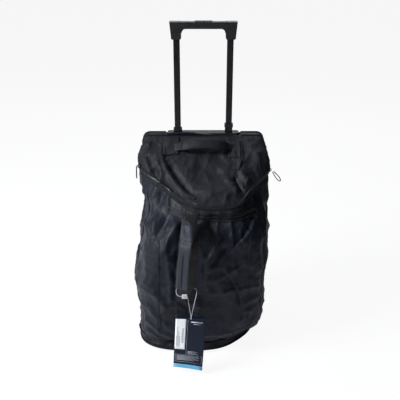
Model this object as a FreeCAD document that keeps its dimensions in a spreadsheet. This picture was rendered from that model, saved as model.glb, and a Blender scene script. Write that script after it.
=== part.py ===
import math
import os

import FreeCAD
import Part
import Sketcher
from FreeCAD import Placement, Rotation, Vector

# Soft upright bag on two wheels with a two-stage telescopic trolley.
# Millimetres, +Z up, the front of the bag faces -Y, the origin is under the middle of the bag on the floor.

os.makedirs("parts", exist_ok=True)
doc = FreeCAD.newDocument("rolling_bag")

DIMENSIONS = {
    # trolley
    "trolley_y": 158.0,           # plane of the tubes
    "tube_pitch": 150.0,          # centre to centre of the two tubes
    "outer_wide": 26.0, "outer_deep": 19.0, "outer_low": 60.0, "outer_high": 604.0,
    "middle_wide": 22.0, "middle_deep": 15.0, "middle_low": 228.0, "middle_high": 620.0,
    "inner_wide": 18.0, "inner_deep": 11.0, "inner_low": 571.0, "inner_high": 905.0,
    "tube_wall": 1.2, "tube_corner": 2.6,
    "stage_offset": 13.0,         # the right middle stage stands this much higher than the left one
    "collar_wide": 25.0, "collar_deep": 18.0, "collar_tall": 10.0,
    "slide_gap": 0.2,             # between a guide and the wall it runs on
    "bezel_wide": 210.0, "bezel_deep": 29.0, "bezel_low": 600.0, "bezel_high": 618.0,
    "bracket_wide": 190.0, "bracket_deep": 19.6, "bracket_low": 50.0, "bracket_high": 76.0,
    "rivet_diameter": 5.0, "rivet_high": 63.0, "rivet_head": 1.5,
    # grip
    "block_low": 887.0, "grip_low": 915.0, "grip_high": 934.0, "grip_deep": 26.0,
    "block_wide": 33.5, "block_slope": 4.5, "block_step": 2.0, "hollow": 11.0,
    "grip_bar_wide": 120.0, "grip_shell": 3.0, "grip_round": 4.0,
    "button_wide": 48.0, "button_deep": 16.0, "button_travel": 3.5, "button_proud": 2.0,
    "grip_room": 12.0, "grip_screw": 5.0, "grip_screw_long": 10.0, "grip_screw_x": 88.0,
    "crossbar_wide": 160.0, "crossbar_deep": 9.0, "crossbar_tall": 3.4, "spring_diameter": 7.0,
    "rod_diameter": 4.0, "pin_diameter": 5.0, "pin_height": 585.0,
    # bag
    "shell_wall": 3.0, "shell_low": 22.0, "seam_x": 132.0, "seam_gap": 0.4,
    "board_front": 10.0, "board_thick": 3.0, "board_half": 178.0, "back_high": 614.0,
    "back_corner": 36.0, "top_corner": 48.0, "bag_half": 195.0, "fabric_thick": 1.5,
    "liner_front": -16.5, "liner_thick": 1.2,
    "hinge_back": -18.0, "hinge_high": 612.0,
    "zip_back": -24.0, "tape_deep": 9.0, "tape_thick": 1.2,
    "mouth_front": -236.0, "mouth_front_z": 474.0, "mouth_slope": 23.3, "lid_slope": 31.5,
    # base and wheels
    "tray_low": 12.0, "tray_high": 22.0, "tray_half": 150.0, "tray_front": -205.0, "tray_back": 13.0,
    "tray_wall": 3.0, "tray_corner": 90.0, "base_screw": 9.0, "base_screw_head": 2.2,
    "foot_x": 86.0, "foot_y": -176.0, "foot_wide": 46.0, "foot_deep": 18.0,
    "wheel_x": 140.0, "wheel_y": 8.0, "wheel_radius": 32.0, "wheel_wide": 24.0, "hub_radius": 23.0,
    "axle_diameter": 6.0, "bearing_diameter": 13.0, "bearing_wide": 5.0, "running_gap": 0.05,
    "housing_in": 122.0, "housing_out": 176.0, "housing_front": -32.0, "housing_back": 18.0,
    "housing_high": 74.0, "wheel_gap": 3.0, "axle_long": 38.0, "hub_window": 3.4, "hub_window_ring": 14.6,
    "rail_x": 96.0, "rail_wide": 16.0, "rail_thick": 8.0, "rail_low": 92.0, "rail_high": 430.0,
    # handles
    "carry_x": -45.0, "carry_axis": -299.0, "carry_mid": 345.0, "carry_half": 116.0, "carry_rise": 53.0,
    "carry_wide": 36.0, "webbing": 2.4, "carry_clear": 15.0, "carry_lean": 12.0, "carry_tilt": 5.4,
    "anchor_wide": 24.0, "wrap_long": 122.0, "wrap_thick": 16.0, "wrap_mid": 2.0, "wrap_wide": 48.0,
    "wrap_aside": 5.0,
    "grab_half": 84.0, "grab_rise": 34.0, "grab_wide": 27.0, "grab_thick": 5.0, "grab_down": 40.0,
    "grab_lean": 50.0, "grab_lift": 4.0, "grab_clear": 13.0,
    # tag and cords
    "tag_wide": 86.0, "tag_tall": 173.0, "tag_thick": 0.6, "tag_top": 190.0, "tag_front": -335.0,
    "tag_x": -34.0, "tag_lean": 4.0, "eyelet": 5.0, "eyelet_down": 3.0, "string_diameter": 1.2,
    "pull_cord": 2.6, "pull_long": 35.0, "pull_half": 4.6,
    "slider_thick": 4.0, "slider_long": 14.0, "slider_tall": 9.0, "slider_gap": 0.1,
    "seal_wide": 14.5, "seal_deep": 6.0, "seal_tall": 11.5, "seal_x": -51.0, "seal_y": -344.5,
    "seal_low": 262.0,
}

sheet = doc.addObject("Spreadsheet::Sheet", "dims")
for row, (alias, value) in enumerate(DIMENSIONS.items(), start=1):
    sheet.set(f"A{row}", alias)
    sheet.set(f"B{row}", str(value))
    sheet.setAlias(f"B{row}", alias)
doc.recompute()

pieces = {}


def dim(alias):
    return float(sheet.get(alias))


def keep(name, obj):
    """Give a finished sub-part its label, which is also its file name."""
    obj.Label = name
    pieces[name] = obj
    return obj


def bind(obj, **expressions):
    for prop, expression in expressions.items():
        obj.setExpression(prop, expression)
    return obj


def put(obj, x="0", y="0", z="0"):
    """Bind an object's place to the sheet."""
    for axis, expression in zip("xyz", (x, y, z)):
        obj.setExpression(f".Placement.Base.{axis}", expression)
    return obj


def block(name, wide, deep, tall, x="0", y="0", z="0", corner=None):
    """A box centred on x and y that stands on z, with its upright edges rounded."""
    box = doc.addObject("Part::Box", name)
    bind(box, Length=wide, Width=deep, Height=tall)
    put(box, f"{x} - ({wide}) / 2", f"{y} - ({deep}) / 2", z)
    if corner is None:
        return box
    doc.recompute()
    upright = [i for i, edge in enumerate(box.Shape.Edges, start=1)
               if abs(edge.tangentAt(edge.FirstParameter).z) > 0.99]
    rounded = doc.addObject("Part::Fillet", f"{name}_rounded")
    rounded.Base = box
    rounded.Edges = [(i, corner, corner) for i in upright]
    return rounded


def rod(name, diameter, length, x="0", y="0", z="0", axis=Vector(0, 0, 1)):
    """A cylinder from x, y, z along an axis."""
    cylinder = doc.addObject("Part::Cylinder", name)
    bind(cylinder, Radius=f"({diameter}) / 2", Height=length)
    cylinder.Placement = Placement(Vector(), Rotation(Vector(0, 0, 1), axis))
    return put(cylinder, x, y, z)


def cut(name, base, *tools):
    """The base without the tools."""
    result = doc.addObject("Part::Cut", name)
    result.Base = base
    result.Tool = tools[0] if len(tools) == 1 else fuse(f"{name}_tools", *tools)
    return result


def fuse(name, *shapes):
    result = doc.addObject("Part::MultiFuse", name)
    result.Shapes = list(shapes)
    return result


def group(name, *shapes):
    """Separate solids that share one node."""
    result = doc.addObject("Part::Compound", name)
    result.Links = list(shapes)
    return result


def solid(name, shape, placement=None):
    """A sub-part whose shape comes from Part's own functions."""
    feature = doc.addObject("Part::Feature", name)
    feature.Shape = shape
    if placement is not None:
        feature.Placement = placement
    return feature


def sketch_on(body, role, name):
    sketch = body.newObject("Sketcher::SketchObject", name)
    plane = next(f for f in body.Origin.OriginFeatures if f.Role == role)
    sketch.AttachmentSupport = [(plane, "")]
    sketch.MapMode = "FlatFace"
    return sketch


def polyline(sketch, points):
    """A closed outline of straight lines whose corners are bound to the sheet."""
    values = [(sheet_value(x), sheet_value(y)) for x, y in points]
    count = len(points)
    for i in range(count):
        start = Vector(*values[i], 0)
        end = Vector(*values[(i + 1) % count], 0)
        sketch.addGeometry(Part.LineSegment(start, end), False)
    first = sketch.GeometryCount - count
    for i in range(count):
        sketch.addConstraint(Sketcher.Constraint("Coincident", first + i, 2, first + (i + 1) % count, 1))
    for i, (x, y) in enumerate(points):
        for kind, value, expression in (("DistanceX", values[i][0], x), ("DistanceY", values[i][1], y)):
            if abs(value) < 1e-9:
                line = -2 if kind == "DistanceX" else -1
                sketch.addConstraint(Sketcher.Constraint("PointOnObject", first + i, 1, line))
                continue
            index = sketch.addConstraint(Sketcher.Constraint(kind, -1, 1, first + i, 1, value))
            sketch.setExpression(f"Constraints[{index}]", expression)


def sheet_value(expression):
    """The number that an expression over the sheet's aliases stands for."""
    probe = doc.getObject("probe") or doc.addObject("App::FeaturePython", "probe")
    if not hasattr(probe, "Value"):
        probe.addProperty("App::PropertyFloat", "Value")
    probe.setExpression("Value", expression)
    probe.recompute()
    return probe.Value


def circle(sketch, radius, x, y):
    """A circle whose radius and centre are bound to the sheet."""
    centre = (sheet_value(x), sheet_value(y))
    index = sketch.addGeometry(Part.Circle(Vector(*centre, 0), Vector(0, 0, 1), sheet_value(radius)), False)
    bound = sketch.addConstraint(Sketcher.Constraint("Radius", index, sheet_value(radius)))
    sketch.setExpression(f"Constraints[{bound}]", radius)
    for kind, value, expression in (("DistanceX", centre[0], x), ("DistanceY", centre[1], y)):
        if abs(value) < 1e-9:
            line = -2 if kind == "DistanceX" else -1
            sketch.addConstraint(Sketcher.Constraint("PointOnObject", index, 3, line))
            continue
        bound = sketch.addConstraint(Sketcher.Constraint(kind, -1, 1, index, 3, value))
        sketch.setExpression(f"Constraints[{bound}]", expression)


def pad(body, sketch, length, reverse=False):
    feature = body.newObject("PartDesign::Pad", f"{sketch.Name}_pad")
    feature.Profile = sketch
    feature.setExpression("Length", length)
    feature.Reversed = reverse
    return feature


def pocket(body, sketch, length, reverse=False, both=False):
    """A pocket, on one side of its sketch or on both, that must take material away."""
    doc.recompute()
    before = body.Shape.Volume
    feature = body.newObject("PartDesign::Pocket", f"{sketch.Name}_pocket")
    feature.Profile = sketch
    feature.setExpression("Length", length)
    feature.Reversed = reverse
    feature.Midplane = both
    doc.recompute()
    if not body.Shape.Volume < before - 1:
        raise RuntimeError(f"{sketch.Name} cuts nothing")
    return feature


def revolve(body, sketch):
    feature = body.newObject("PartDesign::Revolution", f"{sketch.Name}_turned")
    feature.Profile = sketch
    feature.ReferenceAxis = (sketch, ["V_Axis"])
    feature.Angle = 360
    return feature


SIDES = (("left", -1), ("right", 1))
Y_TUBE = "dims.trolley_y"


def tube_x(sign):
    return f"{sign} * dims.tube_pitch / 2"


# ---------------------------------------------------------------- trolley

def hollow_tube(name, wide, deep, low, high, x):
    outside = block(f"{name}_outside", wide, deep, f"{high} - {low}", x, Y_TUBE, low, dim("tube_corner"))
    wall = "2 * dims.tube_wall"
    inside = block(f"{name}_inside", f"{wide} - {wall}", f"{deep} - {wall}", f"{high} - {low} + 2",
                   x, Y_TUBE, f"{low} - 1", dim("tube_corner") - dim("tube_wall"))
    return cut(name, outside, inside)


def trolley_tubes(side, sign):
    x = tube_x(sign)
    lift = "dims.stage_offset" if sign > 0 else "0"
    keep(f"outer_tube_{side}", hollow_tube(f"outer_{side}", "dims.outer_wide", "dims.outer_deep",
                                           "dims.outer_low", "dims.outer_high", x))
    low, high = f"(dims.middle_low + {lift})", f"(dims.middle_high + {lift})"
    keep(f"middle_tube_{side}", hollow_tube(f"middle_{side}", "dims.middle_wide", "dims.middle_deep",
                                            low, high, x))
    collar = block(f"collar_{side}", "dims.collar_wide", "dims.collar_deep", "dims.collar_tall",
                   x, Y_TUBE, high, 4.0)
    bore = block(f"collar_bore_{side}", "dims.inner_wide + dims.slide_gap", "dims.inner_deep + dims.slide_gap",
                 "dims.collar_tall + 2", x, Y_TUBE, f"{high} - 1", dim("tube_corner"))
    keep(f"middle_collar_{side}", cut(f"collar_cut_{side}", collar, bore))
    guide = block(f"middle_guide_{side}", "dims.outer_wide - 2 * dims.tube_wall - 2 * dims.slide_gap",
                  "dims.outer_deep - 2 * dims.tube_wall - 2 * dims.slide_gap", "8", x, Y_TUBE,
                  f"{low} - 8", 1.2)
    stem = block(f"middle_stem_{side}", "dims.middle_wide - 2 * dims.tube_wall",
                 "dims.middle_deep - 2 * dims.tube_wall", "22", x, Y_TUBE, low,
                 dim("tube_corner") - dim("tube_wall"))
    keep(f"middle_plug_{side}", fuse(f"middle_plug_{side}", guide, stem))


def inner_stage(side, sign):
    """The tube that carries the grip, with its lock housing, lock pin and spring at the lower end."""
    x = tube_x(sign)
    tube = hollow_tube(f"inner_{side}", "dims.inner_wide", "dims.inner_deep", "dims.inner_low",
                       "dims.inner_high", x)
    outward = Vector(sign, 0, 0)
    hole = rod(f"pin_hole_{side}", "dims.pin_diameter + 0.2", "12", x, Y_TUBE, "dims.pin_height", outward)
    keep(f"inner_tube_{side}", cut(f"inner_drilled_{side}", tube, hole))
    guide = block(f"inner_guide_{side}", "dims.middle_wide - 2 * dims.tube_wall - 2 * dims.slide_gap",
                  "dims.middle_deep - 2 * dims.tube_wall - 2 * dims.slide_gap", "6", x, Y_TUBE,
                  "dims.inner_low - 6", 1.2)
    stem = block(f"inner_stem_{side}", "dims.inner_wide - 2 * dims.tube_wall",
                 "dims.inner_deep - 2 * dims.tube_wall", "30", x, Y_TUBE, "dims.inner_low",
                 dim("tube_corner") - dim("tube_wall"))
    pin_way = rod(f"pin_way_{side}", "dims.pin_diameter + 2 * dims.running_gap", "dims.inner_wide / 2 + 5",
                  f"{x} - {sign * 4.5}", Y_TUBE, "dims.pin_height", outward)
    rod_way = rod(f"rod_way_{side}", "dims.rod_diameter + 1", "30", x, Y_TUBE, "dims.pin_height + 1")
    keep(f"inner_plug_{side}", cut(f"inner_plug_cut_{side}", fuse(f"inner_plug_body_{side}", guide, stem),
                                   pin_way, rod_way))
    keep(f"lock_pin_{side}", rod(f"pin_{side}", "dims.pin_diameter", "dims.inner_wide / 2 + 0.5", x, Y_TUBE,
                                 "dims.pin_height", outward))


def trolley_fixings():
    bezel = block("bezel", "dims.bezel_wide", "dims.bezel_deep", "dims.bezel_high - dims.bezel_low", "0",
                  f"{Y_TUBE} - 0.5", "dims.bezel_low", 9.0)
    ways = []
    for side, sign in SIDES:
        x = tube_x(sign)
        ways.append(block(f"bezel_way_{side}", "dims.middle_wide + 3 * dims.slide_gap",
                          "dims.middle_deep + 3 * dims.slide_gap", "40", x, Y_TUBE, "dims.bezel_low - 5", 2.8))
        ways.append(block(f"bezel_seat_{side}", "dims.outer_wide", "dims.outer_deep", "20", x, Y_TUBE,
                          "dims.outer_high - 20", dim("tube_corner")))
    keep("trolley_bezel", cut("bezel_cut", bezel, *ways))
    bracket = block("bracket", "dims.bracket_wide", "dims.bracket_deep", "dims.bracket_high - dims.bracket_low",
                    "0", f"{Y_TUBE}", "dims.bracket_low", 6.0)
    seats, rivets, holes = [], [], []
    for side, sign in SIDES:
        x = tube_x(sign)
        seats.append(block(f"bracket_seat_{side}", "dims.outer_wide", "dims.outer_deep", "40", x, Y_TUBE,
                           "dims.outer_low", dim("tube_corner")))
    for i, x in enumerate((-50, -20, 20, 50)):
        rivets.append(rod(f"rivet_{i}", "dims.rivet_diameter", "dims.bracket_deep + dims.rivet_head", str(x),
                          f"{Y_TUBE} - dims.bracket_deep / 2 - dims.rivet_head", "dims.rivet_high",
                          Vector(0, 1, 0)))
        holes.append(rod(f"rivet_hole_{i}", "dims.rivet_diameter", "dims.bracket_deep + 10", str(x),
                         f"{Y_TUBE} - dims.bracket_deep / 2 - 5", "dims.rivet_high", Vector(0, 1, 0)))
    keep("trolley_foot_bracket", cut("bracket_cut", bracket, *seats, *holes))
    keep("bracket_rivets", group("rivets", *rivets))


# ---------------------------------------------------------------- grip and release

def grip():
    height = "dims.grip_high - dims.grip_low"
    bar = block("bar", "dims.grip_bar_wide", "dims.grip_deep", height, "0", Y_TUBE, "dims.grip_low")
    doc.recompute()
    rounded = doc.addObject("Part::Fillet", "bar_rounded")
    rounded.Base = bar
    long_edges = [i for i, edge in enumerate(bar.Shape.Edges, start=1)
                  if abs(edge.tangentAt(edge.FirstParameter).x) > 0.99]
    rounded.Edges = [(i, dim("grip_round"), dim("grip_round")) for i in long_edges]
    room_low, room_high = "dims.grip_low + 2", f"{height} - dims.grip_shell - 2"
    room = block("bar_room", "dims.grip_bar_wide + 2", "dims.grip_room", room_high, "0", Y_TUBE, room_low)
    window = block("bar_window", "dims.button_wide + 0.8", "dims.button_deep + 0.8", "12", "0", Y_TUBE,
                   "dims.grip_high - 11", 3.4)
    keep("grip_bar", cut("grip_bar_cut", rounded, room, window))
    screws = []
    for side, sign in SIDES:
        end = grip_end(side, sign)
        seat = block(f"end_seat_{side}", "dims.inner_wide", "dims.inner_deep",
                     "dims.inner_high - dims.block_low + 1", tube_x(sign), Y_TUBE, "dims.block_low - 1",
                     dim("tube_corner"))
        way = rod(f"end_way_{side}", "dims.rod_diameter + 2", "30", tube_x(sign), Y_TUBE, "dims.block_low + 2")
        end_room = block(f"end_room_{side}", "26", "dims.grip_room", room_high, f"{sign} * 70", Y_TUBE,
                         room_low)
        holes = []
        for i, up in enumerate((7, 22)):
            place = (f"{sign} * dims.grip_screw_x", f"{Y_TUBE} + dims.grip_deep / 2", f"dims.block_low + {up}",
                     Vector(0, -1, 0))
            holes.append(rod(f"end_hole_{side}_{i}", "dims.grip_screw", "dims.grip_screw_long", *place))
            screws.append(rod(f"grip_screw_{side}_{i}", "dims.grip_screw", "dims.grip_screw_long", *place))
        keep(f"grip_block_{side}", cut(f"end_cut_{side}", end, seat, way, end_room, *holes))
    keep("grip_screws", group("grip_screw_set", *screws))


def grip_end(side, sign):
    """A block that narrows downwards, with a hollow corner under the bar."""
    body = doc.addObject("PartDesign::Body", f"end_{side}")
    outline = sketch_on(body, "XZ_Plane", f"end_{side}_outline")
    inner = f"{sign} * (dims.grip_bar_wide / 2 + dims.block_step)"
    bar_end = f"{sign} * dims.grip_bar_wide / 2"
    outer = f"{sign} * (dims.grip_bar_wide / 2 + dims.block_wide)"
    slope = f"{sign} * dims.block_slope"
    polyline(outline, [(inner, "dims.block_low"), (f"{outer} - {slope}", "dims.block_low"),
                       (outer, "dims.grip_high"), (bar_end, "dims.grip_high"), (bar_end, "dims.grip_low"),
                       (inner, "dims.grip_low - 1")])
    feature = pad(body, outline, "dims.grip_deep")
    feature.Midplane = True
    put(body, "0", Y_TUBE, "0")
    doc.recompute()
    rounded = doc.addObject("Part::Fillet", f"end_round_{side}")
    rounded.Base = body
    low = dim("block_low") + 1
    rounded.Edges = [(i, 4.0, 4.0) for i, edge in enumerate(body.Shape.Edges, start=1)
                     if abs(edge.tangentAt(0).y) > 0.99 and edge.CenterOfMass.z < low]
    corner = block(f"hollow_{side}", "dims.hollow + 2", "dims.grip_deep - 2 * dims.grip_round", "dims.hollow",
                   f"{sign} * (dims.grip_bar_wide / 2 - dims.hollow / 2 + 1)", Y_TUBE,
                   "dims.grip_low - dims.hollow")
    round_off = rod(f"hollow_round_{side}", "2 * dims.hollow", "dims.grip_deep",
                    f"{sign} * (dims.grip_bar_wide / 2 - dims.hollow)", f"{Y_TUBE} - dims.grip_deep / 2",
                    "dims.grip_low - dims.hollow", Vector(0, 1, 0))
    return fuse(f"end_whole_{side}", rounded, cut(f"hollow_cut_{side}", corner, round_off))


def release():
    """Button, crossbar and the two rods that run down inside the inner tubes."""
    bar_z = "dims.grip_low + 2 + dims.button_travel + 0.6"
    bar_top = f"({bar_z} + dims.crossbar_tall)"
    keep("release_crossbar", block("crossbar", "dims.crossbar_wide", "dims.crossbar_deep", "dims.crossbar_tall",
                                   "0", Y_TUBE, bar_z, 1.5))
    top = block("button", "dims.button_wide", "dims.button_deep",
                f"dims.grip_high + dims.button_proud - ({bar_top} + 3)", "0", Y_TUBE, f"{bar_top} + 3", 3.0)
    neck = block("button_neck", "dims.button_wide - 10", "dims.crossbar_deep", "3", "0", Y_TUBE, bar_top, 2.0)
    keep("release_button", fuse("button_whole", top, neck))
    rods = [rod(f"push_rod_{side}", "dims.rod_diameter", f"{bar_z} - dims.pin_height - 7", tube_x(sign), Y_TUBE,
                "dims.pin_height + 7") for side, sign in SIDES]
    keep("push_rods", group("push_rod_pair", *rods))
    keep("button_spring", rod("return_spring", "dims.spring_diameter", "dims.button_travel + 0.6", "0", Y_TUBE,
                              "dims.grip_low + 2"))
    springs = [rod(f"pin_spring_{side}", "dims.pin_diameter - 1", "4.4", f"{tube_x(sign)} - {sign * 4.4}",
                   Y_TUBE, "dims.pin_height", Vector(sign, 0, 0)) for side, sign in SIDES]
    keep("pin_springs", group("pin_spring_pair", *springs))


# ---------------------------------------------------------------- soft bag

def section_wire(z, half, front, back, back_half, corner, bow):
    """One level of the bag: straight back, bowed sides, round front corners and a bowed front."""
    y_corner = front + bow + corner
    mid = corner * (1 - math.sqrt(0.5))
    taper = 3.0
    corners = {sign: (Vector(sign * (half - taper), y_corner, z),
                      Vector(sign * (half - taper - mid), y_corner - corner + mid, z),
                      Vector(sign * (half - taper - corner), y_corner - corner, z)) for sign in (-1, 1)}
    left, right = corners[-1], corners[1]
    back_left, back_right = Vector(-back_half, back, z), Vector(back_half, back, z)
    side_y = 0.45 * back + 0.55 * y_corner
    edges = [Part.Arc(back_left, Vector(-half, side_y, z), left[0]), Part.Arc(*left),
             Part.Arc(left[2], Vector(0, front, z), right[2]), Part.Arc(*reversed(right)),
             Part.Arc(right[0], Vector(half, side_y, z), back_right), Part.LineSegment(back_right, back_left)]
    return Part.Wire([edge.toShape() for edge in edges])


# share of the height, half width, front, corner radius, bow of the front
LEVELS = ((0.0, 174.0, -248.0, 58.0, 10.0), (0.15, 186.0, -264.0, 62.0, 14.0),
          (0.42, 194.0, -284.0, 66.0, 20.0), (0.66, 188.0, -266.0, 66.0, 18.0),
          (0.84, 192.0, -236.0, 62.0, 16.0), (1.0, 184.0, -206.0, 60.0, 14.0))


def bag_loft(inset):
    """The bag's form between its base and its top, moved inwards by inset."""
    low, high, y0 = dim("shell_low"), dim("back_high"), dim("trolley_y")
    wires = [section_wire(low + (high - low) * share, half - inset, front + inset + y0, y0 + dim("board_front"),
                          dim("board_half") - inset, corner, bow)
             for share, half, front, corner, bow in LEVELS]
    return Part.makeLoft(wires, True, False)


def half_space(y, z, slope, above):
    """A large block above or below a plane that falls forwards by slope degrees through y, z."""
    size = 1200
    slab = Part.makeBox(size, size, size, Vector(-size / 2, -size / 2, 0 if above else -size))
    return slab.transformed(Placement(Vector(0, y, z), Rotation(Vector(1, 0, 0), slope)).toMatrix())


def silhouette(inset):
    """Front view of the bag with its round top corners, as a prism through the whole depth."""
    high, corner, half = (dim("back_high") - inset, dim("top_corner") - inset, dim("bag_half") - inset)
    prism = Part.makeBox(2 * half, 800, high + 100, Vector(-half, -400, -100))
    edges = [e for e in prism.Edges if abs(e.tangentAt(0).y) > 0.9 and e.CenterOfMass.z > high - 1]
    return prism.makeFillet(corner, edges)


def soft_bag():
    y0 = dim("trolley_y")
    wall, low = dim("shell_wall"), dim("shell_low")
    gap = dim("seam_gap")
    mouth = (y0 + dim("mouth_front"), dim("mouth_front_z"), dim("mouth_slope"))
    hinge = (y0 + dim("hinge_back"), dim("hinge_high"), dim("lid_slope"))
    outside = bag_loft(0).common(silhouette(0))
    inside = bag_loft(wall).common(silhouette(wall))
    ahead = Part.makeBox(1000, 1000, 1000, Vector(-500, hinge[0] - 1000, 0))
    above_mouth = half_space(*mouth, True)
    under_lid = half_space(*hinge, False)

    lid = outside.common(ahead).common(above_mouth).common(under_lid)
    roof_drop = wall / math.cos(math.radians(hinge[2]))
    room = inside.common(half_space(hinge[0], hinge[1] - roof_drop, hinge[2], False))
    keep("top_lid", solid("lid", lid.cut(room)))

    ahead_of_gusset = Part.makeBox(1000, 1000, 1000, Vector(-500, hinge[0] + gap - 1000, 0))
    above_seam = half_space(mouth[0], mouth[1] - gap, mouth[2], True)
    floor = Part.makeBox(800, 800, wall, Vector(-400, -400, low - 0.01))
    shell = outside.cut(inside).cut(ahead_of_gusset.common(above_seam))
    bottom = outside.common(floor)
    for _, sign in SIDES:
        shell = shell.cut(housing_box(sign))
        bottom = bottom.cut(housing_box(sign))
    shell = shell.cut(floor)
    seam = dim("seam_x")
    middle = Part.makeBox(2 * seam, 1000, 1000, Vector(-seam, -500, 0))
    rear = Part.makeBox(1000, 500, 1000, Vector(-500, hinge[0] + gap, 0))
    centre = shell.common(middle)
    keep("front_panel", solid("front", centre.cut(rear)))
    keep("top_gusset", solid("gusset", centre.common(rear).cut(bezel_room(0))))
    for side, sign in SIDES:
        part = Part.makeBox(400, 1000, 1000, Vector(seam if sign > 0 else -seam - 400, -500, 0))
        keep(f"side_panel_{side}", solid(f"side_{side}", shell.common(part)))
    keep("bottom_panel", solid("bottom", bottom))
    return outside


def bezel_room(gap):
    """The space of the bezel and all that is above it, with a gap round it."""
    wide = dim("bezel_wide") + 2 * gap
    return Part.makeBox(wide, 100, 100, Vector(-wide / 2, dim("trolley_y") - 50, dim("bezel_low") - gap))


def housing_box(sign):
    """The space of one wheel housing, in the lower back corner."""
    wide = dim("housing_out") - dim("housing_in")
    x = dim("housing_in") if sign > 0 else -dim("housing_out")
    return Part.makeBox(wide, 200, dim("housing_high"), Vector(x, dim("trolley_y") + dim("housing_front"), 0))


def back_sheets():
    """Stiff board, back fabric and the lining that hides the tubes."""
    y0 = dim("trolley_y")
    behind = dim("board_front") + dim("board_thick")
    sheets = (("back_board", dim("board_front"), dim("board_thick"), dim("back_high") - 2, 0.0),
              ("back_fabric", behind, dim("fabric_thick"), dim("back_high"), 0.0),
              ("trolley_liner", dim("liner_front"), dim("liner_thick"), dim("bezel_low"), 6.0))
    for name, front, thick, high, inset in sheets:
        half = dim("board_half") - inset
        low = dim("shell_low") + dim("shell_wall") + 1
        sheet_box = Part.makeBox(2 * half, thick, high - low, Vector(-half, y0 + front, low))
        top = [e for e in sheet_box.Edges if abs(e.tangentAt(0).y) > 0.9 and e.CenterOfMass.z > high - 1]
        sheet_box = sheet_box.makeFillet(dim("back_corner"), top)
        for side, sign in SIDES:
            sheet_box = sheet_box.cut(housing_box(sign))
        keep(name, solid(f"{name}_sheet", sheet_box.cut(bezel_room(0.5))))


# ---------------------------------------------------------------- base and wheels

def base_tray():
    body = doc.addObject("PartDesign::Body", "tray")
    outline = sketch_on(body, "XY_Plane", "tray_outline")
    half, front, back = "dims.tray_half", "dims.tray_front", "dims.tray_back"
    polyline(outline, [(f"-{half}", front), (half, front), (half, back), (f"-{half}", back)])
    plate = pad(body, outline, "dims.tray_high - dims.tray_low")
    doc.recompute()
    corners = [f"Edge{i}" for i, e in enumerate(body.Shape.Edges, start=1)
               if abs(e.tangentAt(0).z) > 0.99 and e.CenterOfMass.y < 0]
    fillet = body.newObject("PartDesign::Fillet", "tray_corners")
    fillet.Base = (plate, corners)
    fillet.setExpression("Radius", "dims.tray_corner")
    recess = sketch_on(body, "XY_Plane", "tray_recess")
    for row in range(2):
        for column in range(3):
            x0, x1 = f"({column} * 97 - 143.5)", f"({column} * 97 - 143.5 + 93)"
            y0, y1 = f"({row} * 88 - 193)", f"({row} * 88 - 193 + 84)"
            front_left, front_right, back_edge = [(x0, y0)], [(x1, y0)], [(x1, y1), (x0, y1)]
            if row == 0 and column == 0:
                front_left = [(x0, f"{y0} + 38"), (f"{x0} + 38", y0)]
            if row == 0 and column == 2:
                front_right = [(f"{x1} - 38", y0), (x1, f"{y0} + 38")]
            polyline(recess, front_left + front_right + back_edge)
    pocket(body, recess, "dims.tray_high - dims.tray_low - dims.tray_wall", reverse=True)
    put(body, "0", Y_TUBE, "dims.tray_low")
    rooms = [solid(f"tray_room_{side}", housing_box(sign)) for side, sign in SIDES]
    keep("base_tray", cut("tray_cut", body, *rooms))


def feet_and_screws():
    feet = []
    for side, sign in SIDES:
        foot = block(f"foot_{side}", "dims.foot_wide", "dims.foot_deep", "dims.tray_high - dims.tray_wall",
                     f"{sign} * dims.foot_x", f"{Y_TUBE} + dims.foot_y", "0")
        doc.recompute()
        rounded = doc.addObject("Part::Fillet", f"foot_round_{side}")
        rounded.Base = foot
        rounded.Edges = [(i, 4.0, 4.0) for i, e in enumerate(foot.Shape.Edges, start=1)
                         if abs(e.tangentAt(0).z) > 0.99]
        feet.append(rounded)
    keep("front_feet", group("foot_pair", *feet))
    screws = []
    for i, (x, y) in enumerate(((-100, -70), (100, -70), (-30, -180), (30, -180))):
        low = "dims.tray_high - dims.tray_wall - dims.base_screw_head"
        screws.append(rod(f"base_screw_{i}", "dims.base_screw", "dims.base_screw_head", str(x),
                          f"{Y_TUBE} + {y}", low))
    keep("base_screws", group("base_screw_set", *screws))


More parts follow.
